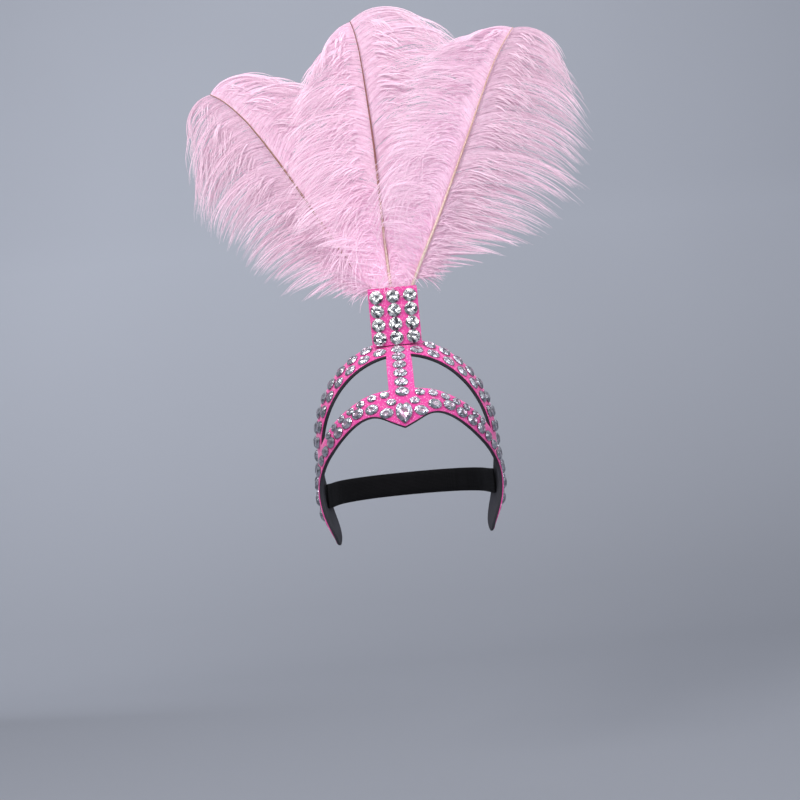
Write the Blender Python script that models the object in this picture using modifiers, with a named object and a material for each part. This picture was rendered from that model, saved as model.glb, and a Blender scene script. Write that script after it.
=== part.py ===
"""Carnival feather headdress: a felt-faced foam frame that hugs the head, an upright plate that holds
three ostrich plumes, glued glass stones and an elastic strap round the back.

Metres, +Z up. The front faces -Y and +X is the right side of a front view. The origin is inside the head,
on the centre line, a little below the middle of the side tabs' tops."""

import math

import bmesh
import bpy
from mathutils import Matrix, Vector
from mathutils.bvhtree import BVHTree

# Frame: the outer face of the foam, as a domed shell that stands straight below the shoulder height
HALF_WIDTH = 0.0915
HALF_DEPTH = 0.0930
SHOULDER_HEIGHT = 0.0400
CROWN_RISE = 0.1140
FOAM = 0.0025
FELT = 0.0010
GLUE_GAP = 0.0003

# Crown arch: its front edge lies in a plane that leans back on the way down
ARCH_FORWARD = 0.0635
ARCH_LEAN = 0.363
ARCH_WIDTH = 0.0245
ARCH_STATIONS = 14

# Forehead band, centre bar and side tabs
FOREHEAD_TOP = 0.0890
BAR_WIDTH = 0.0252
BAR_STEPS = 6
TAB_DROP = 0.0643
BAND_COLUMNS = 2

# Azimuths in degrees from the front, heights as shares of FOREHEAD_TOP, from the bar's side outwards
BROW_ROWS = (
    # lower azimuth, lower height, upper azimuth, upper height
    (5.0, 0.620, 9.0, 1.000),
    (9.9, 0.660, 14.2, 0.992),
    (15.0, 0.706, 20.2, 0.974),
    (19.7, 0.721, 26.3, 0.942),
    (24.7, 0.708, 32.0, 0.893),
    (30.3, 0.668, 37.6, 0.843),
    (36.4, 0.602, 43.7, 0.782),
    (43.0, 0.517, 50.3, 0.699),
    (49.7, 0.428, 57.0, 0.610),
    (56.3, 0.343, 63.2, 0.525),
    (63.2, 0.267, 69.0, 0.449),
)
V_TIP = 0.581

# Falls as shares of the way from the shoulder height down to the tab's tip, reaches as shares of the shell
TAB_ROWS = (
    # front azimuth, front fall, front reach, rear azimuth, rear fall, rear reach
    (70.0, 0.249, 1.012, 90.0, 0.115, 0.992),
    (75.5, 0.345, 1.027, 96.0, 0.240, 1.000),
    (78.5, 0.451, 1.038, 100.5, 0.364, 0.999),
    (80.5, 0.566, 1.029, 103.0, 0.508, 0.983),
    (81.5, 0.690, 1.003, 103.5, 0.652, 0.950),
    (82.5, 0.796, 0.962, 102.0, 0.786, 0.896),
    (84.0, 0.882, 0.920, 99.0, 0.901, 0.860),
    (86.2, 0.944, 0.893, 95.2, 0.973, 0.860),
    (88.4, 0.983, 0.882, 91.8, 1.000, 0.874),
)

# Plume holder: the felt-faced front plate and a plain rear plate, with the quills between them
HOLDER_WIDTH = 0.0490
HOLDER_HEIGHT = 0.0571
HOLDER_FRONT = -0.0562
POCKET = 0.0038
CORNER = 0.0012

# Strap
STRAP_WIDTH = 0.0250
STRAP_THICKNESS = 0.0015
STRAP_HEIGHT = -0.0130
STRAP_BACK = 0.0980
STRAP_TUCK = 0.0140
STRAP_STEPS = 26
STRAP_SIDE_POWER = 0.84
STRAP_BACK_POWER = 1.05

# Stones: length, width and height of each kind
ROUND_STONE = (0.0135, 0.0135, 0.0042)
BAR_STONE = (0.0136, 0.0094, 0.0030)
LARGE_OVAL = (0.0140, 0.0098, 0.0032)
ARCH_OVAL = (0.0136, 0.0092, 0.0030)
SMALL_OVAL = (0.0098, 0.0068, 0.0024)
HEART = (0.0172, 0.0212, 0.0040)
HEART_DOWN = 0.0230
HEART_CURVE = (1.2, 13.0, -1.5, -1.6, -0.8)
HEART_CURVE_REACH = 12.5
HEART_SIDE_POWER = 1.2
STONE_SIDES = 8
TABLE_SHARE = 0.55
GIRDLE_SHARE = 0.30

HOLDER_COLUMNS = 3
HOLDER_SIDE_MARGIN = 0.0077
HOLDER_TOP_MARGIN = 0.0091
HOLDER_FOOT_MARGIN = 0.0068
HOLDER_ROW_PITCH = 0.0137
BAR_STONE_PITCH = 0.0096
BAR_FIRST_DOWN = 0.0022
BAR_LAST_AHEAD = 0.0029
FLANK_OUT = 0.0112
FLANK_DOWN = 0.0118

GLUE_WIDTH = 0.0030
GLUE_THICKNESS = 0.0005
BROW_STONES_PER_SIDE = 7
BAR_LINE_STEPS = 60
BROW_STONE_FIRST = 0.0088
BROW_STONE_PITCH = 0.0150

# The forehead's large ovals that lean out of their row, from the heart outwards: rise in metres and turn in
# degrees
BROW_STONE_LEANS = (
    (0.0008, -38.0),
    (0.0012, -20.0),
    (0.0012, -5.0),
)

# Rows of stones: distance from the edge, first stone along the row, pitch, number, kind
STONE_ROWS = {
    "brow_stone": (0.0078, BROW_STONE_FIRST, BROW_STONE_PITCH, BROW_STONES_PER_SIDE, LARGE_OVAL),
    "tab_row": (0.0072, BROW_STONE_FIRST + BROW_STONE_PITCH * BROW_STONES_PER_SIDE, 0.0164, 5, ARCH_OVAL),
    "tab_middle_row": (0.0180, 0.0060, 0.0152, 5, ARCH_OVAL),
    "brow_row": (0.0042, 0.0048, 0.0129, 7, SMALL_OVAL),
    "arch_front_row": (0.0066, 0.0050, 0.0169, 8, ARCH_OVAL),
    "arch_rear_row": (0.0060, 0.0180, 0.0162, 14, ARCH_OVAL),
}

# Plumes
QUILL_RADIUS = 0.0016
QUILL_TIP_SHARE = 0.30
QUILL_SIDES = 1
QUILL_STEPS = 2
PLUME_LAYER = 0.0140
LAYER_RAMP = 0.0550
ROOT_STRIP_HALF = 0.0022
LOCK_THICKNESS = 0.0012
VANE_GAP = 0.0007
LOCKS_PER_SIDE = 10
LOCK_STEPS = 5
LOCK_FILL = 0.84
LOCK_SWEEP = 0.0060
PLUME_SPREAD = 0.1660
PLUME_RISE = 0.3200
QUILL_STANDOFF = 0.0088
BARB_RUN_REACH = 0.06

# Quill paths as shares: across by PLUME_SPREAD, up from the foot by PLUME_RISE.
# Barb arcs: where along the vane, then length as a share of PLUME_SPREAD, leaving angle and bend, for the left
# side and then the right.
PLUMES = {
    "left": {
        "layer": 1.0,
        "vane_start": 0.185,
        "quill": (
            (-0.066, 0.000),
            (-0.072, 0.070),
            (-0.102, 0.147),
            (-0.229, 0.233),
            (-0.463, 0.448),
            (-0.605, 0.577),
            (-0.773, 0.712),
            (-0.916, 0.791),
            (-1.000, 0.816),
        ),
        "barbs": (
            (0.00, 0.145, 52, 20, 0.085, 40, 30),
            (0.10, 0.350, 50, 40, 0.300, 50, 30),
            (0.25, 0.480, 46, 70, 0.450, 42, 50),
            (0.45, 0.540, 50, 85, 0.660, 40, 70),
            (0.65, 0.620, 56, 95, 0.735, 46, 82),
            (0.82, 0.600, 60, 108, 0.710, 68, 88),
            (0.94, 0.450, 32, 110, 0.630, 98, 72),
            (1.00, 0.330, 14, 110, 0.570, 120, 56),
        ),
    },
    "centre": {
        "layer": 0.0,
        "vane_start": 0.210,
        "quill": (
            (0.000, 0.000),
            (0.000, 0.070),
            (-0.006, 0.147),
            (-0.017, 0.309),
            (-0.025, 0.580),
            (-0.041, 0.748),
            (-0.060, 0.892),
            (-0.084, 0.966),
            (-0.102, 0.991),
        ),
        "barbs": (
            (0.00, 0.157, 62, 12, 0.133, 56, 12),
            (0.12, 0.400, 56, 50, 0.300, 50, 45),
            (0.28, 0.590, 52, 98, 0.505, 48, 70),
            (0.48, 0.600, 48, 98, 0.640, 43, 75),
            (0.68, 0.510, 50, 96, 0.690, 42, 82),
            (0.84, 0.450, 60, 92, 0.720, 46, 92),
            (0.94, 0.450, 72, 86, 0.710, 64, 94),
            (1.00, 0.395, 88, 72, 0.630, 84, 84),
        ),
    },
    "right": {
        "layer": -1.0,
        "vane_start": 0.200,
        "quill": (
            (0.054, 0.000),
            (0.072, 0.070),
            (0.120, 0.147),
            (0.199, 0.233),
            (0.297, 0.331),
            (0.431, 0.476),
            (0.547, 0.605),
            (0.686, 0.764),
            (0.777, 0.850),
            (0.861, 0.909),
        ),
        "barbs": (
            (0.00, 0.108, 50, 30, 0.180, 64, 10),
            (0.10, 0.300, 38, 70, 0.360, 62, 18),
            (0.25, 0.375, 35, 100, 0.530, 56, 48),
            (0.45, 0.480, 38, 96, 0.675, 48, 72),
            (0.65, 0.520, 46, 88, 0.700, 43, 88),
            (0.82, 0.505, 60, 80, 0.645, 38, 92),
            (0.94, 0.455, 80, 70, 0.545, 34, 70),
            (1.00, 0.385, 100, 60, 0.450, 36, 46),
        ),
    },
}

HOLDER_PLATES = FELT + GLUE_GAP + FOAM
POCKET_MIDDLE = HOLDER_FRONT + HOLDER_PLATES + POCKET / 2
FELT_LIFT = GLUE_GAP + FELT
CAST = 0.02


# Scene and materials


def clear_scene():
    for item in list(bpy.data.objects):
        bpy.data.objects.remove(item)


def material(name, color, roughness, metallic=0.0, transmission=0.0):
    made = bpy.data.materials.new(name)
    made.use_nodes = True
    shader = made.node_tree.nodes["Principled BSDF"]
    shader.inputs["Base Color"].default_value = (*color, 1.0)
    shader.inputs["Roughness"].default_value = roughness
    shader.inputs["Metallic"].default_value = metallic
    shader.inputs["Transmission Weight"].default_value = transmission
    made.diffuse_color = (*color, 1.0)
    return made


def collection(name, hidden=False):
    made = bpy.data.collections.new(name)
    made.hide_render = hidden
    bpy.context.scene.collection.children.link(made)
    return made


def add_object(name, mesh, finish, group):
    made = bpy.data.objects.new(name, mesh)
    mesh.materials.append(finish)
    group.objects.link(made)
    return made


def mesh_of(name, points, faces):
    mesh = bpy.data.meshes.new(name)
    mesh.from_pydata([tuple(p) for p in points], [], faces)
    mesh.validate()
    return mesh


# Shell geometry


def on_shell(azimuth, height, reach=1.0):
    """The shell's point at this azimuth in degrees from the front, drawn in towards the crown."""
    rise = max(height - SHOULDER_HEIGHT, 0.0) / CROWN_RISE
    radius = reach * math.sqrt(max(1.0 - rise**2, 0.0))
    angle = math.radians(azimuth)
    across = HALF_WIDTH * radius * math.sin(angle)
    return Vector((across, -HALF_DEPTH * radius * math.cos(angle), height))


def shell_normal(point):
    above = max(point.z - SHOULDER_HEIGHT, 0.0)
    slope = (point.x / HALF_WIDTH**2, point.y / HALF_DEPTH**2, above / CROWN_RISE**2)
    return Vector(slope).normalized()


def pulled_to_shell(point):
    """The point moved along its ray from the shell's centre until it is on the shell."""
    above = point.z - SHOULDER_HEIGHT
    flat = (point.x / HALF_WIDTH) ** 2 + (point.y / HALF_DEPTH) ** 2
    if above <= 0.0:
        scale = 1.0 / math.sqrt(flat)
        return Vector((point.x * scale, point.y * scale, point.z))
    scale = 1.0 / math.sqrt(flat + (above / CROWN_RISE) ** 2)
    return Vector((point.x * scale, point.y * scale, SHOULDER_HEIGHT + above * scale))


def crown_height(across, back, lift=0.0):
    """Height of the shell, lifted by this much, over a point of the plan."""
    flat = (across / (HALF_WIDTH + lift)) ** 2 + (back / (HALF_DEPTH + lift)) ** 2
    return SHOULDER_HEIGHT + (CROWN_RISE + lift) * math.sqrt(max(1.0 - flat, 0.0))


def holder_foot():
    """The holder's front plate stands on the arch's felt."""
    return crown_height(0.0, HOLDER_FRONT + FELT, FELT_LIFT) + GLUE_GAP


def between(a, b, share):
    return a + (b - a) * share


def line_length(line):
    return sum((b - a).length for a, b in zip(line, line[1:]))


def line_point(line, distance):
    for a, b in zip(line, line[1:]):
        length = (b - a).length
        if distance <= length:
            return between(a, b, distance / length)
        distance -= length
    return line[-1].copy()


def smooth_rows(rows, steps):
    """Rows of numbers with steps - 1 more between each two, on a smooth curve through them."""
    padded = [rows[0], *rows, rows[-1]]
    out = []
    for before, start, end, after in zip(padded, padded[1:], padded[2:], padded[3:]):
        for step in range(steps):
            t = step / steps
            row = []
            for a, b, c, d in zip(before, start, end, after):
                bend = (2 * a - 5 * b + 4 * c - d) * t**2 + (3 * b - a - 3 * c + d) * t**3
                row.append(0.5 * (2 * b + (c - a) * t + bend))
            out.append(tuple(row))
    out.append(tuple(rows[-1]))
    return out


# Stations of the half frame, front or lower edge first, on the +X side


def arch_front_edge(turn):
    """The arch's front edge at this turn in degrees from the crown to the side."""
    top = crown_height(0.0, ARCH_FORWARD)
    side, up = math.sin(math.radians(turn)), math.cos(math.radians(turn))
    start = -ARCH_FORWARD + ARCH_LEAN * (top - SHOULDER_HEIGHT)
    fall = ARCH_LEAN * up
    a = (side / HALF_WIDTH) ** 2 + (up / CROWN_RISE) ** 2 + (fall / HALF_DEPTH) ** 2
    b = -2.0 * start * fall / HALF_DEPTH**2
    c = (start / HALF_DEPTH) ** 2 - 1.0
    radius = (-b + math.sqrt(b**2 - 4.0 * a * c)) / (2.0 * a)
    return Vector((radius * side, start - fall * radius, SHOULDER_HEIGHT + radius * up))


def bar_turn():
    """The turn at which the arch's front edge meets the bar's side."""
    low, high = 0.0, 45.0
    for _ in range(40):
        middle = (low + high) / 2
        if arch_front_edge(middle).x < BAR_WIDTH / 2:
            low = middle
        else:
            high = middle
    return low


def arch_station(turn, ahead=0.5):
    front = arch_front_edge(turn)
    run = arch_front_edge(turn + ahead) - arch_front_edge(turn - ahead)
    if turn < ahead:
        run = Vector((1.0, 0.0, 0.0))
    across = shell_normal(front).cross(run).normalized()
    across *= 1.0 if across.y > 0.0 else -1.0
    station = []
    for column in range(BAND_COLUMNS + 1):
        point = front + across * (ARCH_WIDTH * column / BAND_COLUMNS)
        station.append(pulled_to_shell(point))
    return station


def arch_stations():
    start = bar_turn()
    turns = [between(start, 90.0, step / ARCH_STATIONS) for step in range(ARCH_STATIONS + 1)]
    return [arch_station(turn) for turn in turns]


def brow_stations(corner):
    """Stations of the forehead band from the bar's side to the corner where it meets the arch."""
    stations = []
    for low_at, low, high_at, high in BROW_ROWS:
        lower, upper = low * FOREHEAD_TOP, high * FOREHEAD_TOP
        station = []
        for column in range(BAND_COLUMNS + 1):
            share = column / BAND_COLUMNS
            station.append(on_shell(between(low_at, high_at, share), between(lower, upper, share)))
        stations.append(station)
    low_at, low = BROW_ROWS[-1][:2]
    last = on_shell(low_at, low * FOREHEAD_TOP)
    middle = pulled_to_shell(between(last, corner, 0.5))
    stations[-1] = [last, middle, corner] if BAND_COLUMNS == 2 else stations[-1]
    first = stations[0]
    for point in first:
        point.x = BAR_WIDTH / 2 if point is first[-1] else point.x
    return stations


def tab_stations():
    """Stations of the side tab, from its front edge to its rear edge, below the meeting corner."""
    fall = SHOULDER_HEIGHT + TAB_DROP
    stations = []
    columns = 2 * BAND_COLUMNS
    for row in TAB_ROWS:
        station = []
        for column in range(columns + 1):
            share = column / columns
            azimuth = between(row[0], row[3], share)
            height = SHOULDER_HEIGHT - between(row[1], row[4], share) * fall
            station.append(on_shell(azimuth, height, between(row[2], row[5], share)))
        stations.append(station)
    return stations


def centre_stations(brow_side, arch_side):
    """Columns of the bar from the V tip up to the arch's rear edge, on the centre line and beside it."""
    tip = on_shell(0.0, V_TIP * FOREHEAD_TOP)
    top_front = arch_station(0.0)
    side = list(brow_side)
    middle = [tip]
    for column in range(1, BAND_COLUMNS + 1):
        share = column / BAND_COLUMNS
        middle.append(on_shell(0.0, between(V_TIP, 1.0, share) * FOREHEAD_TOP))
    for step in range(1, BAR_STEPS):
        share = step / BAR_STEPS
        height = between(FOREHEAD_TOP, top_front[0].z, share)
        middle.append(on_shell(0.0, height))
        height = between(brow_side[-1].z, arch_side[0].z, share)
        back = between(brow_side[-1].y, arch_side[0].y, share)
        side.append(pulled_to_shell(Vector((BAR_WIDTH / 2, back, height))))
        side[-1].x = BAR_WIDTH / 2
    return [middle + top_front, side + arch_side]


def frame_strips():
    arch = arch_stations()
    arch[0][0].x = BAR_WIDTH / 2
    brow = brow_stations(arch[-1][0])
    tab = tab_stations()
    brow_path = brow + [station[: BAND_COLUMNS + 1] for station in tab]
    arch_path = arch + [station[BAND_COLUMNS:] for station in tab]
    return {"brow": brow_path, "arch": arch_path, "bar": centre_stations(brow[0], arch[0])}


def add_strip(shape, strip, lift):
    """Faces between the stations of a strip, lifted off the shell."""
    rows = []
    for station in strip:
        rows.append([shape.verts.new(p + shell_normal(p) * lift) for p in station])
    for near, far in zip(rows, rows[1:]):
        for a, b, c, d in zip(near, far, far[1:], near[1:]):
            shape.faces.new((a, b, c, d))


def build_frame_layer(name, lift, thickness, outward, finish, group):
    """One layer of the frame: a half sheet on the shell, mirrored and given its wall."""
    shape = bmesh.new()
    for strip in frame_strips().values():
        add_strip(shape, strip, lift)
    bmesh.ops.remove_doubles(shape, verts=shape.verts, dist=1e-5)
    bmesh.ops.recalc_face_normals(shape, faces=shape.faces)
    first = max(shape.faces, key=lambda face: face.calc_center_median().z)
    if first.normal.dot(shell_normal(first.calc_center_median())) < 0.0:
        bmesh.ops.reverse_faces(shape, faces=shape.faces)
    mesh = bpy.data.meshes.new(name)
    shape.to_mesh(mesh)
    shape.free()
    sheet = add_object(name, mesh, finish, group)
    mirror = sheet.modifiers.new("other_half", "MIRROR")
    mirror.merge_threshold = 1e-5
    wall = sheet.modifiers.new("wall", "SOLIDIFY")
    wall.thickness = thickness
    wall.offset = 1.0 if outward else -1.0
    wall.use_even_offset = True
    return sheet


# Stones


def oval_outline(length, width, sides=STONE_SIDES):
    turns = [2 * math.pi * (side + 0.5) / sides for side in range(sides)]
    return [(length / 2 * math.cos(turn), width / 2 * math.sin(turn)) for turn in turns]


def heart_outline(width, height, sides=14):
    """A full heart with its point down and a shallow notch, turned to the stone's own axes."""
    outline = []
    for side in range(sides):
        turn = 2 * math.pi * side / sides
        across = math.sin(turn) * abs(math.sin(turn)) ** HEART_SIDE_POWER
        rise = sum(weight * math.cos(times * turn) for times, weight in enumerate(HEART_CURVE))
        up = rise / HEART_CURVE_REACH
        outline.append((across * width / 2, up * height / 2))
    return outline[::-1]


def gem_mesh(name, outline, height):
    """A flat-backed stone: a girdle wall, a ring of facets and a flat table."""
    rings = ((0.0, 1.0), (height * GIRDLE_SHARE, 1.0), (height, TABLE_SHARE))
    points = []
    for level, share in rings:
        points += [(x * share, y * share, level) for x, y in outline]
    count = len(outline)
    faces = [tuple(range(count))[::-1], tuple(range(2 * count, 3 * count))]
    for ring in range(2):
        for side in range(count):
            after = (side + 1) % count
            low, high = ring * count, (ring + 1) * count
            faces.append((low + side, low + after, high + after, high + side))
    return mesh_of(name, points, faces)


def stone_axes(normal, along):
    up = normal.normalized()
    run = (along - up * along.dot(up)).normalized()
    return run, up.cross(run), up


def seat(felt, place, outline, sunk=0.0):
    """A stone's place: its flat back just clear of the felt below its whole outline."""
    point, up, along = place
    samples = [(x * share, y * share) for share in (0.0, 0.55, 1.0) for x, y in outline]
    for _ in range(2):
        run, side, up = stone_axes(up, along)
        leaning, highest = Vector(), -1.0
        for x, y in samples:
            start = point + run * x + side * y
            hit, normal = felt.ray_cast(start + up * CAST, -up, 2 * CAST)[:2]
            if hit is None:
                continue
            leaning += normal
            highest = max(highest, (hit - start).dot(up))
        up = leaning.normalized()
    run, side, up = stone_axes(up, along)
    turn = Matrix((run, side, up)).transposed().to_4x4()
    return Matrix.Translation(point + up * (highest + GLUE_GAP + sunk)) @ turn


def at_share(station, share):
    """The point this share of the way along a station's own line."""
    lengths = [(b - a).length for a, b in zip(station, station[1:])]
    left = share * sum(lengths)
    for a, b, length in zip(station, station[1:], lengths):
        if left <= length:
            return between(a, b, left / length)
        left -= length
    return station[-1].copy()


def row_line(strip, distance, rear):
    """Points, normals and directions along a strip, this far in from its front or rear edge."""
    points, acrosses = [], []
    for station in strip:
        width = sum((b - a).length for a, b in zip(station, station[1:]))
        share = min(distance / width, 0.5)
        points.append(at_share(station, 1.0 - share if rear else share))
        acrosses.append((station[-1] - station[0]).normalized())
    line = []
    for i, point in enumerate(points):
        run = points[min(i + 1, len(points) - 1)] - points[max(i - 1, 0)]
        normal = acrosses[i].cross(run).normalized()
        normal *= 1.0 if normal.dot(shell_normal(point)) > 0.0 else -1.0
        line.append((point, normal, run.normalized()))
    return line


def along_line(line, distance):
    """The place this far along a line of points, with its normal and direction."""
    left = distance
    for (a, na, ra), (b, nb, rb) in zip(line, line[1:]):
        length = (b - a).length
        if left <= length:
            share = left / length
            normal = between(na, nb, share).normalized()
            return between(a, b, share), normal, between(ra, rb, share).normalized()
        left -= length
    return line[-1]


def mirrored_place(place):
    point, normal, run = (Vector((-v.x, v.y, v.z)) for v in place)
    return point, normal, -run


def add_stone(name, outline, height, matrix, finish, group):
    stone = add_object(name, gem_mesh(name, outline, height), finish, group)
    stone.matrix_world = matrix
    return stone


def add_seated_pair(name, tag, outline, height, place, felt, finish, group):
    """The same stone on the right and on the left."""
    for side, there in (("right", place), ("left", mirrored_place(place))):
        add_stone(f"{name}_{side}{tag}", outline, height, seat(felt, there, outline), finish, group)


def build_holder_stones(finish, group):
    """Rows of three round stones down the holder's felt."""
    length, width, height = ROUND_STONE
    top = holder_foot() + HOLDER_HEIGHT - HOLDER_TOP_MARGIN
    room = HOLDER_HEIGHT - HOLDER_TOP_MARGIN - HOLDER_FOOT_MARGIN
    column_pitch = (HOLDER_WIDTH - 2 * HOLDER_SIDE_MARGIN) / (HOLDER_COLUMNS - 1)
    for row in range(int(room / HOLDER_ROW_PITCH) + 1):
        for column in range(HOLDER_COLUMNS):
            across = (column - (HOLDER_COLUMNS - 1) / 2) * column_pitch
            matrix = Matrix.Rotation(math.pi / 2, 4, "X")
            matrix.translation = (across, HOLDER_FRONT - GLUE_GAP, top - row * HOLDER_ROW_PITCH)
            name = f"holder_stone_{row + 1}_{column + 1}"
            add_stone(name, oval_outline(length, width), height, matrix, finish, group)


def bar_levels():
    """Heights of the bar's stones, evenly spaced along the shell from the forehead to the holder."""
    low = math.asin((FOREHEAD_TOP - BAR_FIRST_DOWN - SHOULDER_HEIGHT) / CROWN_RISE)
    high = math.acos(min((BAR_LAST_AHEAD - HOLDER_FRONT) / HALF_DEPTH, 1.0))
    turns = [between(low, high, step / BAR_LINE_STEPS) for step in range(BAR_LINE_STEPS + 1)]
    points = [Vector((0.0, -HALF_DEPTH * math.cos(t), CROWN_RISE * math.sin(t))) for t in turns]
    total = line_length(points)
    last = int(total / BAR_STONE_PITCH)
    spots = [line_point(points, total * index / last) for index in range(last + 1)]
    return [SHOULDER_HEIGHT + spot.z for spot in spots]


def centre_place(height):
    point = on_shell(0.0, height)
    return point, shell_normal(point), Vector((1.0, 0.0, 0.0))


def build_centre_stones(felt, finish, group):
    """Ovals up the bar, the heart above the V point and the small ovals beside it."""
    length, width, height = BAR_STONE
    outline = oval_outline(length, width)
    for index, level in enumerate(bar_levels()):
        matrix = seat(felt, centre_place(level), outline)
        add_stone(f"bar_stone_{index + 1}", outline, height, matrix, finish, group)
    width, tall, height = HEART
    outline = heart_outline(width, tall)
    matrix = seat(felt, centre_place(FOREHEAD_TOP - HEART_DOWN), outline)
    add_stone("heart_stone", outline, height, matrix, finish, group)
    length, width, height = SMALL_OVAL
    level = FOREHEAD_TOP - FLANK_DOWN
    point = on_shell(math.degrees(math.asin(FLANK_OUT / on_shell(90.0, level).x)), level)
    place = (point, shell_normal(point), Vector((1.0, 0.0, 0.0)))
    outline = oval_outline(length, width)
    add_seated_pair("flank_stone", "", outline, height, place, felt, finish, group)


def build_brow_stones(strip, felt, finish, group):
    """The large ovals of the forehead; the first few lean out of their row, round the heart."""
    distance, first, pitch, count, (length, width, height) = STONE_ROWS["brow_stone"]
    line = row_line(strip, distance, rear=False)
    outline = oval_outline(length, width)
    for index in range(count):
        point, normal, run = along_line(line, first + index * pitch)
        if index < len(BROW_STONE_LEANS):
            rise, turn = BROW_STONE_LEANS[index]
            point = point + normal.cross(run).normalized() * rise
            run = Matrix.Rotation(math.radians(turn), 3, normal) @ run
        place = (point, normal, run)
        tag = f"_{index + 1}"
        add_seated_pair("brow_stone", tag, outline, height, place, felt, finish, group)


def line_between(line, start, end):
    """The part of a line between two distances, with its own points kept."""
    kept, distance = [along_line(line, start)], 0.0
    for (a, _, _), place in zip(line, line[1:]):
        distance += (place[0] - a).length
        if start + 0.001 < distance < end - 0.001:
            kept.append(place)
    return [*kept, along_line(line, end)]


def on_felt(felt, point, normal):
    hit = felt.ray_cast(point + normal * CAST, -normal, 2 * CAST)[0]
    return point if hit is None else hit


def glue_mesh(name, line, felt):
    """The strip of glue under a row of stones, laid on the felt."""
    points, faces = [], []
    for point, normal, run in line:
        side = normal.cross(run).normalized() * GLUE_WIDTH / 2
        low, high = (on_felt(felt, point + way, normal) + normal * GLUE_GAP for way in (-side, side))
        top = normal * GLUE_THICKNESS
        points += [low, high, high + top, low + top]
    steps = len(line) - 1
    for step in range(steps):
        a, b = 4 * step, 4 * step + 4
        for i in range(4):
            faces.append((a + i, a + (i + 1) % 4, b + (i + 1) % 4, b + i))
    faces += [(3, 2, 1, 0), tuple(4 * steps + i for i in range(4))]
    return mesh_of(name, points, faces)


def outward(mesh):
    shape = bmesh.new()
    shape.from_mesh(mesh)
    bmesh.ops.recalc_face_normals(shape, faces=shape.faces)
    shape.to_mesh(mesh)
    shape.free()


def build_stone_row(kind, side, strip, rear, felt, finish, group, helpers):
    """A row of stones fused to its strip of glue."""
    distance, first, pitch, count, (length, width, height) = STONE_ROWS[kind]
    line = row_line(strip, distance, rear)
    if side == "left":
        line = [mirrored_place(place) for place in line]
    last = first + pitch * (count - 1)
    name = f"{kind}_{side}"
    glue = add_object(name, glue_mesh(name, line_between(line, first, last), felt), finish, group)
    outward(glue.data)
    outline = oval_outline(length, width)
    for index in range(count):
        matrix = seat(felt, along_line(line, first + index * pitch), outline, GLUE_THICKNESS / 3)
        cutter = f"{name}_{index + 1}"
        stone = add_stone(cutter, outline, height, matrix, finish, helpers)
        stone.hide_render = True
        stone.display_type = "WIRE"
        join = glue.modifiers.new(cutter, "BOOLEAN")
        join.operation = "UNION"
        join.solver = "EXACT"
        join.object = stone


# Holder and strap


def add_plate(name, front, thickness, foot, top, finish, group):
    """An upright plate with eased corners, its front face at this depth."""
    shape = bmesh.new()
    bmesh.ops.create_cube(shape, size=1.0)
    for vert in shape.verts:
        vert.co.x *= HOLDER_WIDTH
        vert.co.y = front + thickness * (vert.co.y + 0.5)
        vert.co.z = between(foot, top, vert.co.z + 0.5)
    upright = [e for e in shape.edges if abs(e.verts[0].co.y - e.verts[1].co.y) > thickness / 2]
    bmesh.ops.bevel(shape, geom=upright, offset=CORNER, segments=2, affect="EDGES", profile=0.5)
    mesh = bpy.data.meshes.new(name)
    shape.to_mesh(mesh)
    shape.free()
    return add_object(name, mesh, finish, group)


def build_holder(felt, foam, group):
    """The felt-faced plate stands on the arch's felt, and the rear plate behind the quills too."""
    top = holder_foot() + HOLDER_HEIGHT
    add_plate("holder_facing", HOLDER_FRONT, FELT, holder_foot(), top, felt, group)
    front = HOLDER_FRONT + FELT + GLUE_GAP
    foot = crown_height(0.0, front + FOAM, FELT_LIFT) + GLUE_GAP
    add_plate("holder_backing", front, FOAM, foot, top, foam, group)
    front = HOLDER_FRONT + HOLDER_PLATES + POCKET
    foot = crown_height(0.0, front + FOAM, FELT_LIFT) + GLUE_GAP
    add_plate("holder_rear", front, FOAM, foot, top, foam, group)


def strap_side(foam, back):
    """How far out the strap lies against the right tab's inner face, this far back."""
    reached = []
    for step in range(-3, 4):
        height = STRAP_HEIGHT + STRAP_WIDTH * step / 6
        hit = foam.ray_cast(Vector((0.0, back, height)), Vector((1.0, 0.0, 0.0)))[0]
        if hit is not None:
            reached.append(hit.x)
    return min(reached) - 2 * GLUE_GAP - STRAP_THICKNESS / 2


def strap_line(foam):
    """The strap's plan: inside the right tab, round the back of the head and inside the left tab."""
    spanned = [s for s in tab_stations() if abs(s[-1].z - STRAP_HEIGHT) < STRAP_WIDTH / 2 + 0.004]
    rears = sorted(station[-1].y for station in spanned)
    start = rears[-1]
    inside = [rears[0] - STRAP_TUCK, rears[0] - STRAP_TUCK / 2, rears[0] - 0.0005]
    line = [Vector((strap_side(foam, back), back, STRAP_HEIGHT)) for back in inside]
    last, before = line[-1], line[-2]
    slope = (last.x - before.x) / (last.y - before.y)
    side = last.x + slope * (start - last.y) - 2 * GLUE_GAP
    for step in range(1, STRAP_STEPS // 2):
        turn = math.pi * step / STRAP_STEPS
        across = side * math.cos(turn) ** STRAP_SIDE_POWER
        back = start + (STRAP_BACK - start) * math.sin(turn) ** STRAP_BACK_POWER
        line.append(Vector((across, back, STRAP_HEIGHT)))
    middle = Vector((0.0, STRAP_BACK, STRAP_HEIGHT))
    mirrored = [Vector((-p.x, p.y, p.z)) for p in reversed(line)]
    return [*line, middle, *mirrored]


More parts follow.
